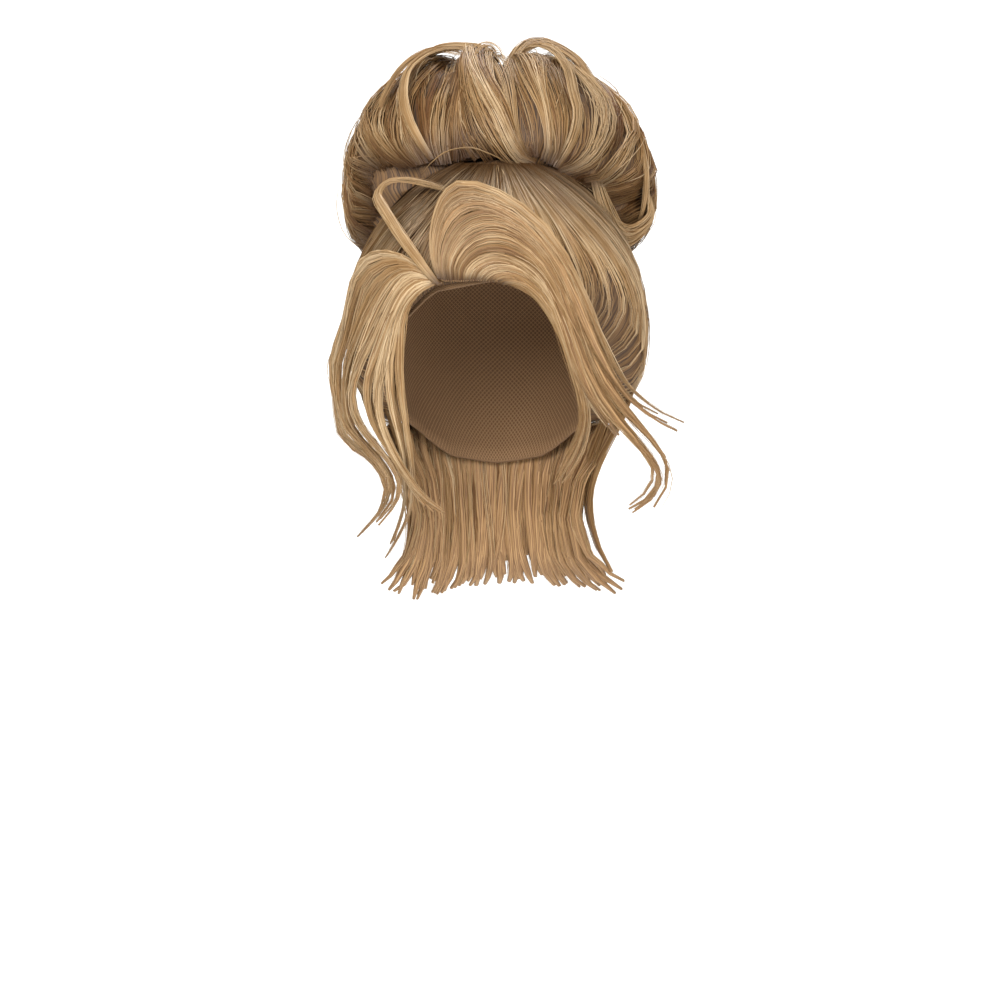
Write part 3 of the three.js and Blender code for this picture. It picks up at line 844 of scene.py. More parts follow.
    def moved(self, curves: bpy.types.NodeSocket) -> bpy.types.NodeSocket:
        """Moves each strand to its place in the lock, gathers clumps to the tip and adds frizz."""
        tree, source = self.tree, self.source
        read = {
            label: add_node(tree, NAMED, {"Name": label}, data_type="FLOAT")
            for label in ("clump_place", "strand_place", "height", "clump_height", "rarity", "spread",
                          "half_width", "half_depth")
        }
        factor = add_node(tree, "GeometryNodeSplineParameter")
        rise = add_node(tree, MATH, {0: factor, 1: self.GATHER_POWER}, operation="POWER")
        pull = add_node(tree, MATH, {0: rise, 1: source["Tightness"]}, operation="MULTIPLY")
        pull = add_node(tree, MATH, {0: pull, 1: self.GATHER_LEAST}, operation="ADD")
        across = add_node(tree, "ShaderNodeMix", {0: pull, 2: read["strand_place"], 3: read["clump_place"]})
        high = add_node(tree, "ShaderNodeMix", {0: pull, 2: read["height"], 3: read["clump_height"]})
        level = add_node(tree, MATH, {0: high, 1: 2.0, 2: -1.0}, operation="MULTIPLY_ADD")
        square = add_node(tree, MATH, {0: across, 1: across}, operation="MULTIPLY")
        rest = add_node(tree, MATH, {0: self.SECTION_REACH, 1: square}, operation="SUBTRACT")
        round_off = add_node(tree, MATH, {0: rest}, operation="SQRT")
        level = add_node(tree, MATH, {0: level, 1: round_off}, operation="MULTIPLY")
        wide = add_node(tree, MATH, {0: across, 1: read["half_width"]}, operation="MULTIPLY")
        deep = add_node(tree, MATH, {0: level, 1: read["half_depth"]}, operation="MULTIPLY")
        sideways = add_node(tree, NAMED, {"Name": "across"}, data_type="FLOAT_VECTOR")
        outward = add_node(tree, NAMED, {"Name": "outward"}, data_type="FLOAT_VECTOR")
        bulge = add_node(tree, MATH, {0: across, 1: self.BULGE}, operation="MULTIPLY")
        bulge = add_node(tree, VECTOR, {0: sideways, "Scale": bulge}, operation="SCALE")
        rounding = add_node(tree, VECTOR, {0: outward, 1: bulge}, operation="ADD")
        curves = add_node(tree, STORE, {"Geometry": curves, "Name": "rounding", "Value": rounding},
                          data_type="FLOAT_VECTOR", domain="POINT")
        wide_step = add_node(tree, VECTOR, {0: sideways, "Scale": wide}, operation="SCALE")
        deep_step = add_node(tree, VECTOR, {0: outward, "Scale": deep}, operation="SCALE")
        offset = add_node(tree, VECTOR, {0: wide_step, 1: deep_step}, operation="ADD")
        position = add_node(tree, "GeometryNodeInputPosition")
        spot = add_node(tree, VECTOR, {0: position, "Scale": source["Frizz scale"]}, operation="SCALE")
        chances = {0: read["spread"], 1: read["height"], 2: read["rarity"]}
        own = add_node(tree, "ShaderNodeCombineXYZ", chances)
        own = add_node(tree, VECTOR, {0: own, "Scale": self.NOISE_STEP}, operation="SCALE")
        spot = add_node(tree, VECTOR, {0: spot, 1: own}, operation="ADD")
        noise = add_node(tree, NOISE, {"Vector": spot, "Scale": 1.0, "Detail": 1.0})
        bend = add_node(tree, VECTOR, {0: noise.outputs["Color"], 1: (0.5, 0.5, 0.5)}, operation="SUBTRACT")
        rare = add_node(tree, MATH, {0: read["rarity"], 1: self.WILD_POWER}, operation="POWER")
        wild = add_node(tree, MATH, {0: rare, 1: self.WILD_GAIN, 2: 1.0}, operation="MULTIPLY_ADD")
        size = add_node(tree, MATH, {0: wild, 1: source["Frizz"]}, operation="MULTIPLY")
        early = add_node(tree, MATH, {0: factor, 1: self.BEND_GAIN}, operation="MULTIPLY")
        early = add_node(tree, MATH, {0: early, 1: 1.0}, operation="MINIMUM")
        size = add_node(tree, MATH, {0: size, 1: early}, operation="MULTIPLY")
        bend = add_node(tree, VECTOR, {0: bend, "Scale": size}, operation="SCALE")
        offset = add_node(tree, VECTOR, {0: offset, 1: bend}, operation="ADD")
        return add_node(tree, "GeometryNodeSetPosition", {"Geometry": curves, "Offset": offset}).outputs[0]

    def tubes(self, curves: bpy.types.NodeSocket) -> bpy.types.NodeSocket:
        """Cuts the strands to uneven lengths, gives them their tones and painted shade near the root, and
        gives them a body that thins to the tip.
        """
        tree, source = self.tree, self.source
        read = {
            label: add_node(tree, NAMED, {"Name": label}, data_type="FLOAT")
            for label in ("cut", "shade", "clump_shade", "lock_tone")
        }
        tone = read["lock_tone"]
        for label, spread in (("shade", self.STRAND_TONES), ("clump_shade", self.CLUMP_TONES)):
            tone = add_node(tree, MATH, {0: read[label], 1: spread, 2: tone}, operation="MULTIPLY_ADD")
            tone = add_node(tree, MATH, {0: tone, 1: spread / 2}, operation="SUBTRACT")
        curves = add_node(tree, STORE, {"Geometry": curves, "Name": "tone", "Value": tone},
                          data_type="FLOAT", domain="CURVE")
        short = add_node(tree, MATH, {0: read["cut"], 1: 2.0}, operation="POWER")
        short = add_node(tree, MATH, {0: short, 1: source["Shortening"]}, operation="MULTIPLY")
        end = add_node(tree, MATH, {0: 1.0, 1: short}, operation="SUBTRACT")
        curves = add_node(tree, "GeometryNodeTrimCurve", {"Curve": curves, "End": end})
        # Painted shade near the root, where the strands come out from under other hair, fading to none along
        # the given share of the length.
        factor = add_node(tree, "GeometryNodeSplineParameter")
        risen = add_node(tree, MATH, {0: factor, 1: source["Dark root"]}, operation="DIVIDE")
        shadow = add_node(tree, MATH, {0: 1.0, 1: risen}, operation="SUBTRACT", use_clamp=True)
        curves = add_node(tree, STORE, {"Geometry": curves, "Name": "root_shade", "Value": shadow},
                          data_type="FLOAT", domain="POINT")
        line = {0: factor, 1: self.TAPER_SLOPE, 2: self.TAPER_START}
        taper = add_node(tree, MATH, line, operation="MULTIPLY_ADD")
        taper = add_node(tree, MATH, {0: taper, 1: 1.0}, operation="MINIMUM")
        width = add_node(tree, MATH, {0: source["Strand radius"], 1: taper}, operation="MULTIPLY")
        corners = {"Resolution": self.SIDES, "Radius": 1.0}
        section = add_node(tree, "GeometryNodeCurvePrimitiveCircle", corners)
        inputs = {"Curve": curves, "Profile Curve": section, "Scale": width, "Fill Caps": True}
        return add_node(tree, "GeometryNodeCurveToMesh", inputs).outputs[0]

    def finish(self, mesh: bpy.types.NodeSocket) -> None:
        """Smooths, realizes and dresses the strands."""
        smooth = add_node(self.tree, "GeometryNodeSetShadeSmooth", {"Geometry": mesh})
        real = add_node(self.tree, "GeometryNodeRealizeInstances", {"Geometry": smooth})
        inputs = {"Geometry": real, "Material": self.source["Material"]}
        dressed = add_node(self.tree, "GeometryNodeSetMaterial", inputs)
        add_node(self.tree, "NodeGroupOutput", {0: dressed})

    def grow(self, name: str, locks: Sequence[Lock], style: StrandStyle) -> bpy.types.Object:
        """Fills locks with strands.

        Args:
            name: The piece's name.
            locks: The locks, whose root ends come first.
            style: Strand sizes and finish.

        Returns:
            The strands as one plain mesh object.
        """
        mesh = bpy.data.meshes.new(name)
        counts = [len(lock.centre) for lock in locks]
        starts = np.concatenate([[0], np.cumsum(counts)])
        edges = [(i, i + 1) for a, b in zip(starts[:-1], starts[1:]) for i in range(a, b - 1)]
        mesh.from_pydata(np.vstack([lock.centre for lock in locks]), edges, [])
        columns = {
            ("across", "FLOAT_VECTOR", "vector"): np.vstack([lock.across for lock in locks]),
            ("outward", "FLOAT_VECTOR", "vector"): np.vstack([lock.outward for lock in locks]),
            ("half_width", "FLOAT", "value"): np.concatenate([lock.half_width for lock in locks]),
            ("half_depth", "FLOAT", "value"): np.concatenate([lock.half_depth for lock in locks]),
            ("lock_tone", "FLOAT", "value"): np.repeat([lock.tone for lock in locks], counts),
            ("strands", "INT", "value"): np.repeat([lock.strands for lock in locks], counts),
        }
        for (label, kind, member), values in columns.items():
            mesh.attributes.new(label, kind, "POINT").data.foreach_set(member, np.ravel(values))
        made = add_object(name, mesh)
        modifier = made.modifiers.new("strands", "NODES")
        modifier.node_group = self.tree
        for label, value in style.inputs().items():
            modifier[self.sockets[label]] = value
        graph = bpy.context.evaluated_depsgraph_get()
        grown = bpy.data.meshes.new_from_object(
            made.evaluated_get(graph), preserve_all_data_layers=True, depsgraph=graph
        )
        made.modifiers.clear()
        made.data = grown
        bpy.data.meshes.remove(mesh)
        grown.name = name
        return made


class Finish:
    """What every finish shares: a material whose tree ends in the finish's own shader."""

    name: str

    def shader(self, tree: bpy.types.NodeTree) -> bpy.types.Node:
        """Adds the finish's own nodes to a tree and gives back the last of them."""
        raise NotImplementedError

    def build(self) -> bpy.types.Material:
        """Makes the material."""
        material = bpy.data.materials.new(self.name)
        material.use_nodes = True
        tree = material.node_tree
        tree.nodes.clear()
        add_node(tree, "ShaderNodeOutputMaterial", {"Surface": self.shader(tree)})
        return material


@dataclass(frozen=True)
class FibreFinish(Finish):
    """Heat-set acrylic fibre, drawn and crimped smooth: soft long highlights on a honey blonde.

    A real fibre is about 0.08 mm thick. It is drawn about 0.6 mm thick, so that it shows, and its
    tones differ from strand to strand as dyed fibre blends do. Each strand is shaded partly as the
    lock that it lies in, as light falls on thousands of finer fibres.
    """

    name: str = "acrylic_fibre_honey_blonde"
    dark: str = "6a4523"
    middle: str = "9f7c51"
    light: str = "ccb18b"
    # The colour mixed in near the roots: painted shade where the strands come out from under other hair.
    root: str = "3f2409"
    roughness: float = 0.4
    ior: float = 1.36
    lock_share: float = 0.6
    painted_root_shade_share: float = 0.94
    # Drifts of tone over the whole wig, about 22 mm apart.
    drift_scale: float = 45.0
    drift_tones: float = 0.4

    def shader(self, tree: bpy.types.NodeTree) -> bpy.types.Node:
        """Mixes the tones, paints shade near the roots and turns the light towards the lock's."""
        tone, shadow, rounding = (
            add_node(tree, "ShaderNodeAttribute", attribute_name=label).outputs
            for label in ("tone", "root_shade", "rounding")
        )
        place = add_node(tree, "ShaderNodeTexCoord").outputs["Object"]
        drift = add_node(tree, NOISE, {"Vector": place, "Scale": self.drift_scale, "Detail": 2.0})
        inputs = {0: drift, 1: self.drift_tones, 2: -self.drift_tones / 2}
        uneven = add_node(tree, MATH, inputs, operation="MULTIPLY_ADD")
        blend = add_node(tree, MATH, {0: tone["Fac"], 1: uneven}, operation="ADD")
        ramp = add_node(tree, RAMP, {0: blend})
        stops = ramp.color_ramp.elements
        stops[0].position, stops[0].color = 0.1, linear(self.dark)
        stops[1].position, stops[1].color = 0.9, linear(self.light)
        stops.new(0.5).color = linear(self.middle)
        # Painted shade near the roots: the root colour mixed in by the stored root shade.
        deep = add_node(tree, MATH, {0: shadow["Fac"], 1: self.painted_root_shade_share}, operation="MULTIPLY")
        root_shaded = add_node(tree, "ShaderNodeMix", {0: deep, 6: ramp, 7: linear(self.root)}, data_type="RGBA")
        own = add_node(tree, "ShaderNodeNewGeometry").outputs["Normal"]
        lock = rounding["Vector"]
        agreed = add_node(tree, VECTOR, {0: own, 1: lock}, operation="DOT_PRODUCT").outputs["Value"]
        faded = {0: agreed, 1: -0.5, 2: 0.4, 3: 0.0, 4: self.lock_share}
        share = add_node(tree, "ShaderNodeMapRange", faded)
        leaning = {0: share, 4: own, 5: lock}
        facing = add_node(tree, "ShaderNodeMix", leaning, data_type="VECTOR").outputs[1]
        facing = add_node(tree, VECTOR, {0: facing}, operation="NORMALIZE")
        look = {"Base Color": root_shaded.outputs[2], "Roughness": self.roughness, "IOR": self.ior}
        return add_node(tree, PRINCIPLED, {**look, "Normal": facing})


@dataclass(frozen=True)
class UnderHairFinish(Finish):
    """The same fibre packed and teased under the top strands: dull and streaked, and darker as painted shade
    under the top strands.

    The streaks are drawn 1.2 mm apart, coarser than the fibre, so that they show.
    """

    name: str = "under_hair_painted_shade"
    # Both colours are darker than the top strands': painted shade under them.
    dark: str = "3a2511"
    light: str = "76552f"
    streak_mm: float = 1.2
    run_mm: float = 60.0
    bump_mm: float = 0.6

    def shader(self, tree: bpy.types.NodeTree) -> bpy.types.Node:
        """Draws long fine streaks along the hair's flow."""
        flow = add_node(tree, "ShaderNodeUVMap", uv_map="HairFlow")
        scale = (1 / (self.streak_mm * MM), 1 / (self.run_mm * MM), 1.0)
        stretched = add_node(tree, "ShaderNodeMapping", {"Vector": flow, "Scale": scale})
        streaks = add_node(tree, NOISE, {"Vector": stretched, "Scale": 1.0, "Detail": 3.0})
        ramp = add_node(tree, RAMP, {0: streaks})
        stops = ramp.color_ramp.elements
        stops[0].position, stops[0].color = 0.4, linear(self.dark)
        stops[1].position, stops[1].color = 0.62, linear(self.light)
        relief = {"Strength": 0.6, "Distance": self.bump_mm * MM, "Height": streaks}
        bump = add_node(tree, "ShaderNodeBump", relief)
        return add_node(tree, PRINCIPLED, {"Base Color": ramp, "Roughness": 0.7, "IOR": 1.55, "Normal": bump})


@dataclass(frozen=True)
class NetFinish(Finish):
    """Knitted stretch net: a matt brown mesh of fine diamonds, drawn 2.4 mm across so that it shows."""

    name: str = "stretch_net"
    thread: str = "8d6c4a"
    gap: str = "5f4429"
    cell_mm: float = 2.4
    bump_mm: float = 0.4

    def shader(self, tree: bpy.types.NodeTree) -> bpy.types.Node:
        """Draws the knit's threads as the joints of square cells set on their corners."""
        flow = add_node(tree, "ShaderNodeUVMap", uv_map="HairFlow")
        size = 1 / (self.cell_mm * MM)
        turn = {"Vector": flow, "Scale": (size, size, 1), "Rotation": (0, 0, math.radians(45))}
        knit = {
            "Vector": add_node(tree, "ShaderNodeMapping", turn),
            "Scale": 1.0,
            "Mortar Size": 0.16,
            "Mortar Smooth": 0.6,
            "Brick Width": 1.0,
            "Row Height": 1.0,
            "Color1": linear("000000"),
            "Color2": linear("000000"),
            "Mortar": linear("ffffff"),
        }
        cells = add_node(tree, "ShaderNodeTexBrick", knit, offset=0.0)
        ramp = add_node(tree, RAMP, {0: cells})
        stops = ramp.color_ramp.elements
        stops[0].color, stops[1].color = linear(self.gap), linear(self.thread)
        relief = {"Strength": 0.5, "Distance": self.bump_mm * MM, "Height": cells}
        bump = add_node(tree, "ShaderNodeBump", relief)
        return add_node(tree, PRINCIPLED, {"Base Color": ramp, "Roughness": 0.85, "IOR": 1.5, "Normal": bump})


@dataclass(frozen=True)
class PaperFinish(Finish):
    """Seamless white paper under a flash: plain, matt and almost blown out."""

    name: str = "white_paper"
    colour: str = "fbfbf9"
    glow: float = 0.2

    def shader(self, tree: bpy.types.NodeTree) -> bpy.types.Node:
        """Plain paper with a faint glow of its own."""
        white = linear(self.colour)
        light = {"Emission Color": white, "Emission Strength": self.glow}
        return add_node(tree, PRINCIPLED, {"Base Color": white, "Roughness": 0.9, **light})


@dataclass(frozen=True)
class Finishes:
    """Every finish of the wig, made once."""

    fibre: bpy.types.Material
    under: bpy.types.Material
    loose: bpy.types.Material
    net: bpy.types.Material


@dataclass(frozen=True)
class Studio:
    """A white sweep, a soft world and soft boxes from the front and above."""

    floor: float = -0.95
    wall: float = 2.4
    reach: float = 6.0
    sweep: float = 1.2
    bend_steps: int = 24
    room_light: float = 0.5
    aim: tuple[float, float, float] = (0, 0.02, -0.03)
    # Name, place, width and power.
    boxes: tuple[tuple[str, tuple[float, float, float], float, float], ...] = (
        ("key", (-0.5, -1.6, 0.9), 0.9, 39.0),
        ("fill", (1.3, -1.3, 0.1), 1.2, 17.0),
        ("top", (0.25, 0.7, 1.4), 0.9, 20.0),
    )

    def build(self) -> None:
        """Makes the backdrop, the world and the lights."""
        self.backdrop()
        self.lights()

    def backdrop(self) -> None:
        """One sheet of paper that runs from the floor up behind the wig."""
        angles = np.radians(np.linspace(0, 90, self.bend_steps))
        bend_y = self.wall - self.sweep + self.sweep * np.sin(angles)
        bend_z = self.floor + self.sweep * (1 - np.cos(angles))
        ys = np.concatenate([[-self.reach], bend_y, [self.wall]])
        zs = np.concatenate([[self.floor], bend_z, [self.reach]])
        points = [(x, y, z) for y, z in zip(ys, zs) for x in (-self.reach, self.reach)]
        faces = [(2 * i, 2 * i + 1, 2 * i + 3, 2 * i + 2) for i in range(len(ys) - 1)]
        mesh = bpy.data.meshes.new("backdrop")
        mesh.from_pydata(points, [], faces)
        mesh.materials.append(PaperFinish().build())
        mesh.polygons.foreach_set("use_smooth", [True] * len(mesh.polygons))
        add_object("backdrop", mesh)

    def lights(self) -> None:
        """An even world, a key from the upper left, a fill and a light from above and behind."""
        world = bpy.data.worlds.new("soft_room")
        world.use_nodes = True
        background = world.node_tree.nodes["Background"]
        background.inputs["Color"].default_value = linear("ffffff")
        background.inputs["Strength"].default_value = self.room_light
        bpy.context.scene.world = world
        for name, place, size, power in self.boxes:
            data = bpy.data.lights.new(name, "AREA")
            data.shape, data.size, data.energy = "SQUARE", size, power
            lamp = add_object(name, data)
            lamp.location = place
            back = unit(np.array(place) - np.array(self.aim))
            lamp.rotation_euler = (math.acos(back[2]), 0, math.atan2(back[0], -back[1]))
        bpy.context.scene.view_settings.view_transform = "Standard"
        bpy.context.scene.view_settings.look = "None"


@dataclass
class Assembly:
    """What every sub-assembly of the wig shares."""

    head: HeadForm
    bun: BunForm
    camera: PhotoCamera
    finishes: Finishes
    tree: StrandTree

    def place(self, piece: bpy.types.Object, slot: Slot, node: str) -> None:
        """Rides a piece on the wig's one body, in place of the solid that it stands for.

        Args:
            piece: The finished piece.
            slot: The record's material slot for the piece; not used.
            node: The solid that it replaces.
        """
        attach(piece, BODY)
        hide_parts(node)
        triangles = sum(len(face.vertices) - 2 for face in piece.data.polygons)
        LOG.info("%s: %d triangles", piece.name, triangles)


@dataclass
class NetCap(Assembly):
    """The stretch net that the hair is sewn to, open below and at the face."""

    columns: int = 96
    rows: int = 24

    def build(self) -> None:
        """Makes the net."""
        turn, dip = self.head.grid(self.columns, self.rows, self.head.net_rim)
        reach = self.head.net_reach(turn, dip)
        outer, inner = (self.head.at(turn, dip, reach - deep) for deep in (0, self.head.net))
        top = self.head.middle + np.array([0, 0, self.head.crown])
        parts = SkinParts()
        parts.add_rings(np.concatenate([outer, inner[::-1]]), top + [0, 0, self.head.net], top, 0.55, 0.5)
        self.place(parts.build("net_cap", self.finishes.net), Slot.NET, "wig_cap")


@dataclass
class CrownHair(Assembly):
    """Hair combed up over the net from every side to the foot of the bun."""

    columns: int = 120
    rows: int = 36
    sunk: float = 2.0 * MM
    gap: float = 0.3 * MM
    least: float = 0.5 * MM
    top_dip: float = 76.0
    # How far the hair leans back beside the head in degrees, and behind it as a share of that.
    lean: float = 32.4
    lean_behind: float = 0.3
    # Turns between which the back's ends start to lie lower and further out, over the nape's roots.
    behind_from: float = 90.0
    behind_to: float = 115.0
    overhang: float = 7.0
    overlap_rise: float = 4.5 * MM
    strays: int = 26
    stray_rise: float = 3.5 * MM
    halves: tuple[tuple[str, tuple[float, float], Layout], ...] = (
        ("crown_hair_front", (-96.0, 96.0),
         Layout(locks=86, strands=11, points=14, depth=1.8 * MM, wander=0.5, overlap=2.4,
                painted_light_shift=0.1, seed=11)),
        ("crown_hair_back", (96.0, 264.0),
         Layout(locks=64, strands=11, points=14, depth=1.8 * MM, wander=0.5, overlap=2.4,
                shortest=0.95, painted_light_shift=0.1, seed=12)),
    )

    def path(self, turns: Array, along: Array, home: float) -> Array:
        """Runs from under the bun down to the edge, leaning back as it falls beside the head."""
        side = np.sin(np.radians(turns))
        behind = smoothstep(self.behind_from, self.behind_to, np.abs((turns + 180) % 360 - 180))
        edge = self.head.rim(turns, self.head.hair_rim) + 1.0 - self.overhang * behind
        dip = self.top_dip + (edge - self.top_dip) * along
        gathered = smoothstep(10, self.top_dip, dip)
        lean = self.lean * np.where(np.abs(turns) < 120, 1, self.lean_behind)
        turn = turns - lean * side * gathered
        raised = self.overlap_rise * behind * smoothstep(0.86, 0.97, along)
        return self.head.at(turn, dip, self.head.crown_reach(turn, dip) + raised)

    def under_hair(self) -> SkinParts:
        """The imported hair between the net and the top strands."""
        head = self.head
        turn, dip = head.grid(self.columns, self.rows, head.hair_rim)
        inside = head.net_reach(turn, dip) + self.gap
        outside = np.maximum(head.crown_reach(turn, dip) - self.sunk, inside + self.least)
        outer, inner = (head.at(turn, dip, reach) for reach in (outside, inside))
        up = np.array([0, 0, 1.0])
        top_out = head.middle + up * (head.crown + head.top_hair - self.sunk)
        top_in = head.middle + up * (head.crown + head.net + self.gap)
        parts = SkinParts()
        parts.add_rings(np.concatenate([outer, inner[::-1]]), top_out, top_in, 0.7, 0.5)
        return parts

    def build(self) -> None:
        """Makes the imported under-hair and its strands."""
        under = self.under_hair().build("crown_under_hair", self.finishes.under)
        self.place(under, Slot.UNDER_HAIR, "crown_hair")
        style = StrandStyle(
            self.finishes.fibre, frizz=1.4 * MM, shortening=0.03, tightness=0.3, root_painted_shade=0.68, seed=5
        )
        for name, span, layout in self.halves:
            flow = Flow(self.path, self.head.hair_oval.outward, span)
            locks = flow.locks(layout) + flow.strays(self.strays, self.stray_rise, layout.seed)
            self.place(self.tree.grow(name, locks, style), Slot.UNDER_HAIR, "crown_hair")


@dataclass(frozen=True)
class Guide:
    """A path of hair read off the photograph, from root to tip, and its tone from 0 to 1.

    A row holds pixels across and down, and millimetres off the surface that carries the hair.
    """

    rows: Rows
    tone: float = 0.5


@dataclass(frozen=True)
class Band(Guide):
    """A band of hair that stands on its own, with its width and depth in millimetres."""

    width: float = 8.0
    depth: float = 3.0
    strands: int = 40


# Bands on the bun, from root to tip.
BUN_BANDS = {
    "right_lobe": Band((
        (432, 160, 1), (419, 140, 6), (408, 118, 8), (403, 94, 9), (408, 70, 10), (426, 54, 12),
        (448, 47, 12), (466, 48, 6)), 0.6, 8.0, 3.0, 50),
    "right_lobe_edge": Band((
        (372, 128, -2), (384, 96, 5), (400, 70, 9), (420, 54, 12), (442, 49, 11),
        (464, 54, 2)), 0.5, 12.0, 4.0, 40),
    "left_lobe": Band((
        (556, 168, -4), (572, 140, 5), (578, 114, 7), (573, 92, 8), (568, 70, 11), (558, 54, 13),
        (545, 46, 13), (530, 46, 11), (520, 56, 3)), 0.65, 9.0, 3.0, 50),
    "left_side_curl": Band((
        (630, 118, -2), (637, 132, 3), (643, 152, 5), (646, 175, 6), (645, 200, 5), (639, 222, 3),
        (629, 243, -3)), 0.6, 9.0, 3.5, 50),
    "left_back_curl": Band((
        (612, 104, 1), (628, 116, 3), (640, 134, 4), (648, 156, 3), (650, 180, 0),
        (644, 206, -4)), 0.5, 8.0, 3.0, 40),
    "crest_first": Band((
        (472, 62, -1), (478, 50, 4), (486, 45, 7), (494, 48, 6), (500, 60, -1)), 0.5, 3.0, 1.5, 7),
    "crest_second": Band((
        (466, 58, -1), (475, 46, 5), (488, 42, 9), (500, 50, 7), (506, 66, -1)), 0.5, 2.0, 1.0, 4),
    "crease_hair": Band((
        (421, 175, 2), (431, 162, 6), (447, 150, 7), (470, 146, 8), (484, 150, 8), (500, 157, 7),
        (519, 170, 2)), 0.6, 0.8, 0.6, 2),
}

# Hair from behind the ears that falls to the nape, from root to tip. The depths are from the ears back.
EAR_BANDS = {
    "left_outer": Band((
        (636, 360, 12), (632, 388, 14), (622, 414, 17), (609, 438, 20), (597, 462, 23), (589, 488, 26),
        (590, 516, 28), (598, 545, 26), (612, 572, 22)), 0.5, 22.0, 6.0, 50),
    "left_inner": Band((
        (618, 372, 22), (612, 400, 24), (603, 426, 26), (594, 450, 28), (586, 474, 30), (580, 500, 32),
        (579, 528, 33), (584, 556, 32)), 0.4, 20.0, 6.0, 40),
    "right_outer": Band((
        (360, 372, 12), (366, 400, 15), (380, 428, 18), (395, 454, 22), (405, 482, 26), (410, 510, 28),
        (409, 538, 27), (402, 566, 24)), 0.5, 22.0, 6.0, 50),
    "right_inner": Band((
        (380, 378, 22), (388, 406, 25), (398, 432, 28), (408, 458, 31), (415, 486, 33), (419, 514, 34),
        (419, 544, 33)), 0.4, 20.0, 6.0, 40),
}

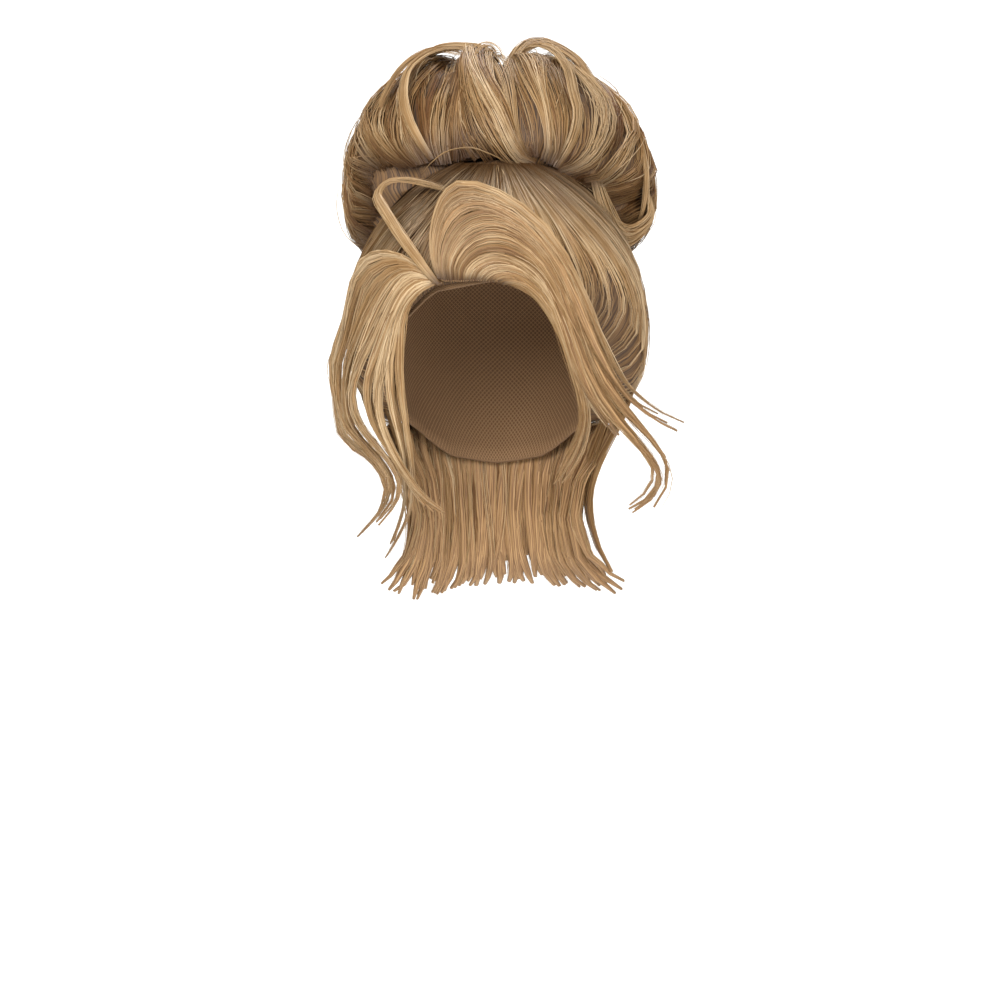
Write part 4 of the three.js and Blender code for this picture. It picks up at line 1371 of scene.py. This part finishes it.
# The bun's paths run from the crease under it, out and up over it, from the wearer's right to left.
# The tones follow how bright the hair looks: the low tones of the foot, gap, fold and hollow guides are
# painted shade, and the bright band's high tone is a painted highlight.
BUN_GUIDES = {
    "right_foot": Guide(((370, 236, -5), (358, 230, 0), (350, 222, 2)), 0.35),
    "right_tuck_low": Guide(((379, 214, -6), (365, 212, 1), (351, 204, 3)), 0.5),
    "right_tuck_middle": Guide(((374, 203, -5), (361, 197, 1), (348, 186, 3)), 0.55),
    "right_tuck_gap": Guide(((371, 192, -7), (361, 186, -1), (349, 172, 1)), 0.35),
    "right_tuck_high": Guide(((378, 168, -7), (362, 158, 1), (352, 146, 3)), 0.55),
    "right_roll_back": Guide(((390, 167, -6), (374, 146, 2), (364, 126, 3)), 0.6),
    "right_roll_gap": Guide(((396, 163, -6), (381, 151, 0), (368, 128, 0), (367, 112, 1)), 0.4),
    "right_roll_outer": Guide((
        (407, 167, -6), (387, 154, 2), (373, 135, 3), (373, 117, 3), (383, 99, 2)), 0.6),
    "right_roll_fold": Guide((
        (415, 167, -6), (396, 147, 0), (387, 122, 0), (394, 96, 0), (406, 78, 0)), 0.4),
    "right_roll_middle": Guide((
        (420, 166, -6), (405, 146, 3), (399, 124, 4), (401, 100, 4), (408, 78, 3), (420, 62, 3)), 0.62),
    "right_roll_inner": Guide((
        (427, 164, -6), (416, 138, 0), (409, 114, 0), (411, 90, 0), (423, 68, -2)), 0.45),
    "fan_first": Guide(((436, 166, -6), (427, 138, 2), (424, 108, 0), (432, 86, -6), (441, 68, -5)), 0.5),
    "fan_second": Guide(((445, 165, -6), (441, 135, 3), (444, 104, 2), (450, 84, -4), (455, 62, -2)), 0.6),
    "fan_third": Guide(((456, 161, -6), (455, 132, 0), (457, 104, 0), (462, 82, 0), (463, 58, 1)), 0.45),
    "middle_fold": Guide(((476, 156, -8), (468, 138, -3), (463, 114, -2), (463, 90, 0), (464, 60, 2)), 0.4),
    "second_band": Guide((
        (506, 160, -7), (495, 149, 2), (483, 134, 3), (474, 114, 3), (466, 88, 3), (464, 58, 3)), 0.55),
    "bright_band": Guide((
        (534, 167, -5), (519, 154, 4), (506, 135, 6), (495, 114, 6), (483, 95, 6), (472, 74, 5),
        (466, 50, 3)), 0.8),
    "middle_band": Guide((
        (532, 165, -6), (523, 153, 2), (514, 139, 3), (504, 110, 3), (494, 88, 3), (486, 66, 2),
        (483, 52, 0)), 0.55),
    "middle_right": Guide((
        (528, 158, -7), (522, 146, 2), (517, 132, 3), (513, 108, 3), (509, 84, 2), (506, 64, 0)), 0.6),
    "notch_hollow": Guide((
        (534, 156, -9), (530, 142, -8), (527, 124, -10), (522, 100, -8), (514, 76, -4), (509, 62, 0)), 0.2),
    "left_rise_first": Guide((
        (541, 159, -6), (545, 147, 2), (545, 127, 3), (540, 106, 3), (530, 86, 2), (520, 68, 2),
        (515, 56, 2)), 0.6),
    "left_rise_second": Guide((
        (549, 164, -6), (556, 150, 3), (554, 128, 4), (549, 106, 4), (539, 78, 3), (529, 60, 3)), 0.62),
    "left_rise_third": Guide((
        (553, 166, -6), (563, 148, 2), (569, 124, 2), (566, 104, 2), (558, 76, 2), (548, 58, 2)), 0.5),
    "left_roll_hollow": Guide((
        (560, 169, -9), (574, 152, -8), (580, 130, -6), (577, 108, -3), (567, 84, 0), (556, 64, 0)), 0.25),
    "left_roll_inner": Guide((
        (556, 171, -5), (576, 164, 3), (590, 147, 5), (593, 122, 5), (586, 98, 5), (574, 76, 4),
        (563, 62, 3)), 0.7),
    "left_roll_outer": Guide((
        (563, 175, -5), (588, 164, 3), (606, 140, 5), (612, 120, 5), (608, 102, 5), (595, 84, 4),
        (582, 70, 3)), 0.6),
    "left_side_hollow": Guide((
        (575, 179, -8), (592, 172, -10), (607, 157, -9), (620, 137, -4), (620, 118, -2),
        (608, 94, 0)), 0.2),
    "left_side_outer": Guide((
        (583, 181, -5), (599, 179, 1), (614, 167, 4), (627, 151, 4), (636, 136, 3), (632, 118, 3),
        (620, 98, 2)), 0.62),
    "left_tuck_high": Guide((
        (590, 190, -5), (610, 187, 2), (628, 180, 4), (641, 170, 4), (645, 155, 3), (640, 128, 3)), 0.62),
    "left_tuck_middle": Guide((
        (598, 204, -6), (614, 198, 0), (632, 192, 0), (646, 182, 2), (652, 168, 3)), 0.45),
    "left_foot_hollow": Guide((
        (604, 214, -8), (618, 208, -10), (630, 200, -7), (645, 198, -1), (654, 190, 2)), 0.2),
    "left_foot_band": Guide((
        (610, 226, -5), (622, 224, 1), (635, 217, 2), (648, 210, 3), (654, 202, 3)), 0.55),
    "left_foot": Guide(((620, 240, -5), (630, 238, 0), (641, 232, 1), (650, 222, 2)), 0.4),
}

# The swept fringe's paths run from the parting over the brow to the tips at the wearer's left.
SWEPT_GUIDES = {
    "top_edge": Guide((
        (438, 280, -6), (431, 255, 6), (431, 228, 13), (440, 197, 18), (456, 181, 20), (482, 184, 19),
        (515, 200, 17), (542, 221, 15), (562, 247, 12), (578, 277, 9), (594, 312, 8), (607, 347, 8),
        (622, 376, 10), (640, 396, 18), (662, 412, 32), (688, 424, 48)), 0.7),
    "high_tip": Guide((
        (441, 280, -6), (436, 258, 6), (438, 234, 12), (449, 210, 16), (468, 200, 17), (492, 203, 16),
        (518, 216, 14), (542, 238, 12), (562, 264, 9), (577, 296, 7), (590, 330, 6), (603, 360, 6),
        (618, 385, 9), (636, 402, 17), (658, 414, 30), (680, 422, 44)), 0.55),
    "long_tip": Guide((
        (446, 281, -6), (443, 262, 4), (450, 240, 10), (466, 222, 14), (490, 216, 14), (515, 224, 13),
        (540, 245, 11), (560, 274, 8), (574, 310, 5), (586, 345, 4), (600, 376, 5), (618, 402, 10),
        (638, 424, 24), (656, 444, 40), (668, 464, 52), (668, 482, 58), (662, 498, 62),
        (650, 513, 64)), 0.6),
    "long_tip_low": Guide((
        (455, 281, -6), (455, 266, 3), (464, 250, 8), (480, 238, 11), (502, 236, 11), (524, 246, 10),
        (546, 268, 8), (562, 298, 5), (574, 332, 3), (585, 365, 3), (598, 392, 5), (616, 418, 11),
        (634, 438, 24), (650, 456, 40), (660, 474, 52), (658, 490, 58), (645, 505, 61),
        (628, 514, 62)), 0.5),
    "short_tip": Guide((
        (464, 281, -6), (466, 270, 2), (477, 259, 6), (494, 254, 8), (514, 258, 8), (535, 272, 7),
        (553, 298, 4), (566, 332, 1), (576, 364, 0), (587, 390, 1), (600, 410, 4), (612, 424, 7),
        (619, 432, 9)), 0.55),
    "cheek_outer": Guide((
        (476, 280, -6), (480, 272, 1), (490, 265, 4), (506, 264, 5), (524, 270, 4), (542, 287, 2),
        (557, 314, 0), (568, 344, -2), (578, 374, -4), (587, 404, -3), (588, 430, -1), (581, 452, 3),
        (570, 472, 7), (560, 486, 11)), 0.6),
    "cheek_inner": Guide((
        (492, 281, -6), (500, 276, 0), (511, 275, 2), (524, 280, 1), (540, 294, 0), (553, 313, -1),
        (564, 338, -3), (573, 366, -4), (582, 396, -3), (584, 422, -1), (577, 446, 3), (566, 468, 8),
        (557, 482, 11)), 0.5),
    "hairline": Guide((
        (517, 284, -6), (530, 290, -2), (543, 300, -2), (556, 320, -3), (566, 344, -4), (574, 372, -4),
        (581, 400, -3), (582, 424, 0), (574, 446, 4), (562, 470, 8), (552, 488, 12)), 0.4),
}

# The side fringe's paths run from the parting over the wearer's right temple to the tips.
SIDE_GUIDES = {
    "outer_loop": Guide((
        (438, 283, -6), (422, 268, 6), (401, 255, 10), (381, 251, 10), (364, 259, 9), (355, 277, 7),
        (351, 299, 6), (346, 321, 6), (338, 343, 9), (333, 365, 12), (335, 385, 15), (338, 402, 17),
        (338, 420, 19), (343, 436, 20), (354, 447, 18), (367, 456, 17), (379, 470, 20), (386, 488, 26),
        (384, 505, 34), (372, 522, 48), (357, 537, 60)), 0.6),
    "puff": Guide((
        (438, 283, -6), (424, 271, 5), (404, 260, 9), (382, 258, 10), (364, 268, 9), (354, 288, 7),
        (350, 308, 6), (348, 328, 6), (341, 350, 8), (337, 370, 11), (338, 390, 13), (341, 410, 15),
        (348, 428, 16), (360, 442, 17), (374, 456, 18), (386, 472, 21), (390, 490, 26), (384, 506, 34),
        (370, 524, 48), (357, 537, 60)), 0.65),
    "wave": Guide((
        (438, 283, -6), (425, 274, 5), (407, 267, 9), (388, 272, 9), (374, 288, 7), (364, 308, 5),
        (357, 330, 5), (350, 352, 7), (346, 374, 9), (345, 396, 11), (347, 416, 12), (355, 434, 13),
        (368, 448, 14), (382, 463, 17), (392, 480, 20), (394, 496, 26), (386, 511, 36),
        (374, 524, 50)), 0.45),
    "wave_inner": Guide((
        (439, 283, -6), (428, 277, 4), (412, 274, 7), (399, 282, 7), (388, 300, 5), (378, 320, 4),
        (369, 342, 4), (359, 364, 6), (353, 386, 8), (353, 406, 10), (360, 424, 11), (372, 440, 12),
        (385, 455, 14), (396, 472, 17), (400, 488, 21), (395, 502, 30), (384, 515, 44),
        (371, 527, 56)), 0.6),
    "cross_outer": Guide((
        (440, 283, -6), (430, 280, 3), (415, 282, 4), (402, 294, 3), (393, 312, 2), (386, 332, 2),
        (378, 352, 3), (371, 372, 5), (368, 392, 7), (371, 412, 8), (378, 430, 9), (388, 446, 11),
        (397, 462, 13), (407, 480, 15), (418, 494, 17), (430, 505, 20), (442, 512, 23)), 0.5),
    "cross_inner": Guide((
        (441, 283, -6), (431, 282, 3), (417, 286, 3), (405, 299, 2), (397, 316, 1), (390, 336, 1),
        (384, 356, 2), (379, 378, 4), (378, 400, 6), (381, 420, 7), (388, 440, 9), (397, 458, 12),
        (408, 476, 15), (420, 492, 17), (433, 504, 20), (446, 513, 23)), 0.6),
    "cheek_outer": Guide((
        (441, 283, -6), (432, 283, 2), (418, 288, 2), (406, 302, 0), (398, 320, -1), (392, 342, -1),
        (389, 364, 0), (390, 386, 1), (393, 408, 2), (399, 430, 3), (404, 452, 5), (406, 474, 8),
        (406, 494, 13), (402, 514, 22), (394, 536, 38), (383, 558, 52)), 0.6),
    "cheek_inner": Guide((
        (442, 283, -6), (434, 284, 1), (420, 292, 1), (408, 306, -1), (403, 324, -3), (402, 346, -3),
        (402, 368, -3), (403, 390, -2), (405, 412, -1), (408, 434, 1), (411, 456, 4), (413, 478, 9),
        (412, 500, 16), (406, 522, 26), (396, 542, 40), (384, 560, 53)), 0.5),
}


def laid_bands(
    bands: dict[str, Band],
    find: Callable[[Rows], Array],
    outward: Callable[[Array], Array],
    points: int = 18,
) -> list[Lock]:
    """Lays single bands.

    Args:
        bands: The bands by name.
        find: Finds the points that a band's rows mean.
        outward: Gives the direction away from what carries the hair.
        points: Points along each.

    Returns:
        One lock a band.
    """
    made = []
    full = 0.55 + 0.45 * np.sin(math.pi * np.linspace(0, 1, points))
    for band in bands.values():
        centre = smooth_path(find(band.rows), points)
        wide, deep = (0.5 * size * MM * full for size in (band.width, band.depth))
        made.append(Lock(centre, outward(centre), wide, deep, band.strands, band.tone))
    return made


@dataclass
class GuidedHair(Assembly):
    """Locks laid between guides in order, which may draw together into a tip at each guide."""

    surface: Surface
    guides: dict[str, Guide]
    gather_from: float = 0.5
    gather_to: float = 0.9
    gather: float = 0.0
    samples: int = 64
    curves: Array = field(init=False)
    stands: Array = field(init=False)

    def __post_init__(self) -> None:
        """Works out each guide's curve and how far it stands off the surface."""
        points = (self.guide_points(guide) for guide in self.guides.values())
        self.curves = np.stack([smooth_path(rows, self.samples) for rows in points])
        self.stands = self.surface.stand(self.curves)

    def guide_points(self, guide: Guide) -> Array:
        """The points that a guide runs through."""
        return self.surface.cast(self.camera, guide.rows)

    def path(self, places: Array, along: Array, home: float) -> Array:
        """Runs between the guides, from root to tip, towards the one nearest home."""
        gathered = self.gather * smoothstep(self.gather_from, self.gather_to, along)
        spot = places + (np.round(home) - places) * gathered
        left = np.clip(np.floor(spot).astype(int), 0, len(self.curves) - 2)
        share = spot - left
        step = along * (self.samples - 1)
        row = np.minimum(step.astype(int), self.samples - 2)
        part = step - row
        mixes = ((left, row, (1 - share) * (1 - part)), (left, row + 1, (1 - share) * part),
                 (left + 1, row, share * (1 - part)), (left + 1, row + 1, share * part))
        points = sum(self.curves[g, r] * weight[:, None] for g, r, weight in mixes)
        stand = sum(self.stands[g, r] * weight for g, r, weight in mixes)
        return self.surface.settled(points, stand)

    def tone(self, place: float) -> float:
        """The tone between the guides' own."""
        tones = [guide.tone for guide in self.guides.values()]
        return float(np.interp(place, range(len(tones)), tones))

    @property
    def flow(self) -> Flow:
        """The hair from the first guide to the last."""
        return Flow(self.path, self.surface.outward, (0.0, len(self.curves) - 1.0))

    def locks(self, layout: Layout) -> list[Lock]:
        """Lays locks over all the guides, with more points where they bend."""
        bends = np.linalg.norm(np.diff(self.curves, 2, axis=1), axis=2).mean(axis=0)
        run = np.concatenate([[0], np.cumsum(1 + 2 * bends / bends.mean())])
        stops = np.interp(np.linspace(0, run[-1], layout.points), run, np.linspace(0, 1, len(run)))
        return self.flow.locks(layout, self.tone, stops)


@dataclass
class Bun(GuidedHair):
    """The big rolled bun: hair fans out of the crease at its foot and over into its top."""

    columns: int = 144
    rows: int = 60
    sunk: float = 3.5 * MM
    lowest: float = 150.0
    top_open: float = 5.0
    side_turn: float = 98.0
    side_open: float = 122.0
    back_open: float = 128.0
    dimple: float = 8 * MM
    set_in: float = 2.5 * MM
    foot_sunk: float = 5 * MM
    # How the back's hair sways on its way up: degrees, and waves round the bun.
    swirl: float = 14.0
    swirl_waves: int = 3
    # How far a guide's own stand reaches over the under-hair.
    guide_near: float = 8 * MM
    guide_far: float = 20 * MM
    strays: int = 110
    stray_rise: float = 6 * MM
    stray_seed: int = 23
    back_strays: int = 55
    back_stray_rise: float = 5 * MM
    front: Layout = Layout(locks=75, strands=24, points=17, depth=3.2 * MM, lift=2.2 * MM, wander=0.9,
                           tones=0.13, painted_light_shift=-0.08, seed=21)
    back: Layout = Layout(locks=62, strands=22, points=13, depth=3.4 * MM, lift=2.2 * MM, wander=0.9,
                          tones=0.13, painted_light_shift=-0.08, seed=22)

    def guide_points(self, guide: Guide) -> Array:
        """The traced points, and from there over the bun into its top."""
        traced = super().guide_points(guide)
        turn, opened = self.bun.angles(self.bun.outward(traced[-1]))
        share = np.array([0.25, 0.5, 0.75, 1.0])
        stand = self.bun.stand(traced[-1:])[0] * (1 - share) - self.dimple * share**3
        return np.vstack([traced, self.bun.at(turn, opened + (self.top_open - opened) * share, stand)])

    def plain_stand(self, along: Array) -> Array:
        """How far plain hair stands off the bun: sunk at its foot and in its top."""
        foot = self.foot_sunk * (1 - smoothstep(0, 0.1, along))
        return -foot - self.dimple * along**8 - self.set_in

    def edge_curve(self, turn: float) -> Array:
        """A plain path up the side of the bun, where the traced ones end."""
        share = np.linspace(0, 1, 12)
        opened = np.linspace(self.side_open, self.top_open, 12)
        return smooth_path(self.bun.at(turn, opened, self.plain_stand(share)), self.samples)

    def __post_init__(self) -> None:
        """Adds a plain guide at each end of the traced ones."""
        super().__post_init__()
        first, last = (self.edge_curve(turn) for turn in (-self.side_turn, self.side_turn))
        self.curves = np.concatenate([first[None], self.curves, last[None]])
        self.stands = self.surface.stand(self.curves)
        plain = Guide(())
        self.guides = {"right_end": plain, **self.guides, "left_end": plain}

    def back_path(self, turns: Array, along: Array, home: float) -> Array:
        """Runs from the foot of the bun's back up into its top."""
        low = np.interp(np.abs(turns - 180), [0, 180 - self.side_turn], [self.back_open, self.side_open])
        opened = low + (self.top_open - low) * along
        swirl = self.swirl * np.sin(math.pi * along) * np.sin(np.radians(turns * self.swirl_waves))
        return self.head.lifted(self.bun.at(turns + swirl, opened, self.plain_stand(along)), CLEAR)

    def under_stand(self, points: Array) -> Array:
        """How far the under-hair stands off the bun at points, following the guides near them."""
        known = self.curves[:, ::4].reshape(-1, 3)
        stands = self.stands[:, ::4].ravel()
        near = np.linalg.norm(points[:, None, :] - known[None], axis=2) + 1 * MM
        weight = near**-4
        front = (weight @ stands) / weight.sum(axis=1)
        return front * (1 - smoothstep(self.guide_near, self.guide_far, near.min(axis=1)))

    def under_hair(self) -> SkinParts:
        """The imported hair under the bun's strands."""
        turns = np.arange(self.columns) * 360 / self.columns
        turn, opened = np.meshgrid(turns, np.linspace(self.top_open, self.lowest, self.rows))
        surface = self.bun.at(turn, opened)
        followed = self.under_stand(surface.reshape(-1, 3)).reshape(turn.shape)
        dimple = self.dimple * (1 - smoothstep(5, 26, opened))
        rings = self.bun.at(turn, opened, np.minimum(followed, 2 * MM) - self.sunk - dimple)
        top = self.bun.at(0, 0, -self.sunk - 2 * self.dimple)
        foot = self.head.lifted(self.bun.at(0, 180), UNDER_CLEAR)
        parts = SkinParts()
        parts.add_rings(self.head.lifted(rings, UNDER_CLEAR), top, foot, 0.7, 0.3)
        return parts

    def build(self) -> None:
        """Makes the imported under-hair and its strands."""
        self.place(self.under_hair().build("bun_under_hair", self.finishes.under), Slot.HAIR, "bun")
        style = StrandStyle(
            self.finishes.fibre, frizz=3.2 * MM, frizz_scale=10.0, shortening=0.04, tightness=0.3, seed=7
        )
        outward = self.bun.outward
        back = Flow(self.back_path, outward, (self.side_turn, 360 - self.side_turn))
        traced = self.locks(self.front) + self.flow.strays(self.strays, self.stray_rise, self.stray_seed)
        bands = laid_bands(BUN_BANDS, lambda rows: self.bun.cast(self.camera, rows), outward)
        plain = back.locks(self.back)
        plain += back.strays(self.back_strays, self.back_stray_rise, self.stray_seed + 1)
        for name, locks in (
            ("bun_hair_front", [self.raised(lock) for lock in traced]),
            ("bun_hair_bands", [self.raised(lock) for lock in bands]),
            ("bun_hair_back", plain),
        ):
            self.place(self.tree.grow(name, locks, style), Slot.HAIR, "bun")

    def raised(self, lock: Lock) -> Lock:
        """Keeps a lock out of the combed hair."""
        lock.centre = self.head.lifted(lock.centre, CLEAR)
        return lock


@dataclass
class Fringe(GuidedHair):
    """One side of the fringe, in locks round dark cores that end in drawn tips; the cores' darker colour is
    painted shade inside the locks.
    """

    name: str = "fringe"
    layout: Layout = Layout(locks=20, strands=40)
    gather: float = 0.78
    core_share: float = 0.55
    strays: int = 40
    stray_rise: float = 4 * MM

    def build(self) -> None:
        """Makes the cores and the strands."""
        locks = self.locks(self.layout)
        parts = SkinParts()
        parts.add_locks(locks, self.core_share)
        self.place(parts.build(self.name + "_core", self.finishes.loose), Slot.HAIR, self.name)
        locks += self.flow.strays(self.strays, self.stray_rise, self.layout.seed)
        style = StrandStyle(self.finishes.fibre, frizz=2.4 * MM, shortening=0.34, root_painted_shade=0.05, seed=9)
        self.place(self.tree.grow(self.name + "_hair", locks, style), Slot.HAIR, self.name)


@dataclass
class Loops(Assembly):
    """The looped lock at the parting and the loops that stand off the bun."""

    parting_width: float = 7 * MM
    parting_depth: float = 3.5 * MM
    parting_strands: int = 70
    bun_width: float = 18 * MM
    bun_depth: float = 6 * MM
    bun_strands: int = 90
    points: int = 26
    tone: float = 0.6
    # Turn, dip and lift, as a share of half the hair's width, from root to tip.
    parting_rows: Rows = (
        (-26, 25, -0.04), (-31, 30, 0.08), (-39, 36, 0.14), (-49, 42, 0.2), (-57, 46, 0.24),
        (-58, 51, 0.23), (-54, 55, 0.17), (-46, 58, 0.09), (-36, 60, 0.02),
    )
    # Turn, open and stand off the bun as a share of its side, from root to tip.
    bun_rows: dict[str, Rows] = field(
        default_factory=lambda: {
            "bun_loop_right": ((-1, 41, -0.034), (-9, 38, 0.025), (-18, 37, 0.076), (-29, 38, 0.102),
                               (-39, 42, 0.085), (-47, 48, 0.059), (-52, 57, -0.025)),
            "bun_loop_left": ((9, 42, -0.034), (16, 39, 0.059), (27, 38, 0.119), (37, 41, 0.102),
                              (45, 47, 0.068), (51, 55, 0.042), (54, 66, -0.025)),
            "bun_loop_low": ((50, 103, -0.025), (58, 113, 0.025), (67, 119, 0.042), (76, 116, 0.059),
                             (80, 105, 0.051), (77, 92, -0.025)),
        }
    )

    def loop(self, points: Array, surface: Surface, width: float, depth: float, strands: int) -> Lock:
        """One lock through points, fullest in its middle."""
        centre = smooth_path(points, self.points)
        full = 0.65 + 0.35 * np.sin(math.pi * np.linspace(0, 1, self.points))
        return Lock(centre, surface.outward(centre), width / 2 * full, depth / 2 * full, strands, self.tone)

    def build(self) -> None:
        """Makes each loop's strands."""
        oval = self.head.hair_oval
        turn, dip, lift = np.array(self.parting_rows, float).T
        way = direction(turn, dip)
        points = self.head.at(turn, dip, oval.distance(way) + lift * self.head.half_hair)
        sizes = (self.parting_width, self.parting_depth, self.parting_strands)
        made = {"parting_loop": self.loop(points, oval, *sizes)}
        for node, rows in self.bun_rows.items():
            turn, opened, stand = np.array(rows, float).T
            points = self.bun.at(turn, opened, stand * self.bun.side)
            made[node] = self.loop(points, self.bun, self.bun_width, self.bun_depth, self.bun_strands)
        style = StrandStyle(
            self.finishes.fibre, frizz=4.0 * MM, shortening=0.03, tightness=0.2, root_painted_shade=0.1, seed=13
        )
        for node, lock in made.items():
            self.place(self.tree.grow(node + "_hair", [lock], style), Slot.HAIR, node)


@dataclass
class NapeCurtain(Assembly):
    """The curtain at the nape, whose tips flick out."""

    reach: float = 80.0
    top: float = 0.168
    length: float = 0.137
    radius: float = 0.062
    flick: float = 0.038
    falls: tuple[float, ...] = (0, 0.14, 0.32, 0.54, 0.76, 0.9, 1)
    radii: tuple[float, ...] = (1.16, 1.12, 1.02, 0.98, 1.0, 1.02, 1.03)
    spreads: tuple[float, ...] = (1, 0.8, 0.25, 0, 0, 0, 0)
    flicks: tuple[float, ...] = (0, 0, 0, 0.03, 0.2, 0.55, 1)
    tip_shares: tuple[float, ...] = (0, 0.12, 0.3, 0.5, 0.7, 0.88, 1)
    tip_flicks: tuple[float, ...] = (1.15, 0.9, 0.6, 0.7, 0.5, 0.3, 0.8)
    tip_falls: tuple[float, ...] = (0.9, 1.0, 0.99, 1.02, 1.03, 1.03, 0.9)
    tip_spreads: tuple[float, ...] = (0.242, 0.194, 0.065, 0, 0.065, 0.194, 0.242)
    layout: Layout = Layout(locks=62, strands=18, points=13, depth=6 * MM, overlap=4.2, tones=0.12,
                            wander=1.2, shortest=0.8, tip=0.3, least=0.8 * MM, seed=31)
    # Cores behind the locks, so that no light falls between them.
    backing: Layout = Layout(locks=22, strands=0, points=12, depth=1 * MM, overlap=2.0, wander=0,
                             lift=0, shortest=0.85, tip=0.6, seed=33)
    backing_length: float = 0.8
    backing_share: float = 0.8
    core_share: float = 0.6

    def path(self, shares: Array, along: Array, home: float) -> Array:
        """Runs down the curtain at a share of the way round the neck."""
        steps = np.linspace(0, 1, len(self.falls))
        fall = np.interp(along, steps, self.falls)
        columns = (self.radii, self.spreads, self.flicks)
        radius, spread, flick = (eased(steps, column, along) for column in columns)
        turn = np.radians(180 - self.reach * (1 - 2 * shares))
        way = np.stack([np.sin(turn), -np.cos(turn), np.zeros_like(turn)], axis=-1)
        out = self.radius * (radius + eased(self.tip_shares, self.tip_spreads, shares) * spread)
        out = out + self.flick * flick * eased(self.tip_shares, self.tip_flicks, shares)
        drop = self.top + self.length * eased(self.tip_shares, self.tip_falls, shares) * fall
        points = way * out[:, None] + np.array([0, self.head.set_back, 0])
        points[:, 2] = -drop
        return self.head.lifted(points, CLEAR)

    def short_path(self, shares: Array, along: Array, home: float) -> Array:
        """The upper part of the same way down."""
        return self.path(shares, self.backing_length * along, home)

    def outward(self, points: Array) -> Array:
        """Level directions away from the neck's middle."""
        flat = points - np.array([0, self.head.set_back, 0])
        flat[:, 2] = 0
        return unit(flat)

    def build(self) -> None:
        """Makes the cores and the strands."""
        locks = Flow(self.path, self.outward, (0.0, 1.0)).locks(self.layout)
        locks += laid_bands(EAR_BANDS, self.camera.on_planes, self.outward)
        backing = Flow(self.short_path, self.outward, (0.0, 1.0)).locks(self.backing)
        parts = SkinParts()
        parts.add_locks(backing, self.backing_share)
        parts.add_locks(locks, self.core_share)
        self.place(parts.build("nape_core", self.finishes.loose), Slot.UNDER_HAIR, "nape_hair")
        style = StrandStyle(
            self.finishes.fibre, frizz=2.4 * MM, shortening=0.3, tightness=0.5, root_painted_shade=0.3, seed=15
        )
        self.place(self.tree.grow("nape_curtain_hair", locks, style), Slot.UNDER_HAIR, "nape_hair")


def main() -> None:
    """Builds the camera, the studio and the wig's sub-assemblies in order."""
    logging.basicConfig(level=logging.INFO, format="%(name)s %(message)s")
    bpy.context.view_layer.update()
    camera = PhotoCamera()
    camera.build()
    Studio().build()
    head = HeadForm()
    bun = BunForm(head)
    # The cores' under-hair, a little darker than the strands: painted shade inside the locks.
    loose = UnderHairFinish("loose_under_hair", "6a4826", "b08a5c")
    finishes = Finishes(FibreFinish().build(), UnderHairFinish().build(), loose.build(), NetFinish().build())
    shared = (head, bun, camera, finishes, StrandTree())
    NetCap(*shared).build()
    CrownHair(*shared).build()
    Bun(*shared, surface=bun, guides=BUN_GUIDES).build()
    swept = Layout(locks=40, strands=34, points=23, depth=2.6 * MM, lift=1.5 * MM, wander=0.35, tip=0.5,
                   shortest=0.86, painted_light_shift=-0.02, least=1.0 * MM, seed=41)
    side = Layout(locks=36, strands=30, points=22, overlap=1.5, depth=2.6 * MM, lift=1.8 * MM, wander=0.35,
                  tip=0.5, shortest=0.86, painted_light_shift=0.1, least=1.0 * MM, seed=42)
    oval = head.hair_oval
    Fringe(*shared, surface=oval, guides=SWEPT_GUIDES, name="swept_fringe", layout=swept).build()
    Fringe(*shared, surface=oval, guides=SIDE_GUIDES, name="side_fringe", layout=side, gather_from=0.15,
           gather_to=0.6).build()
    Loops(*shared).build()
    NapeCurtain(*shared).build()


if __name__ == "__main__":
    main()
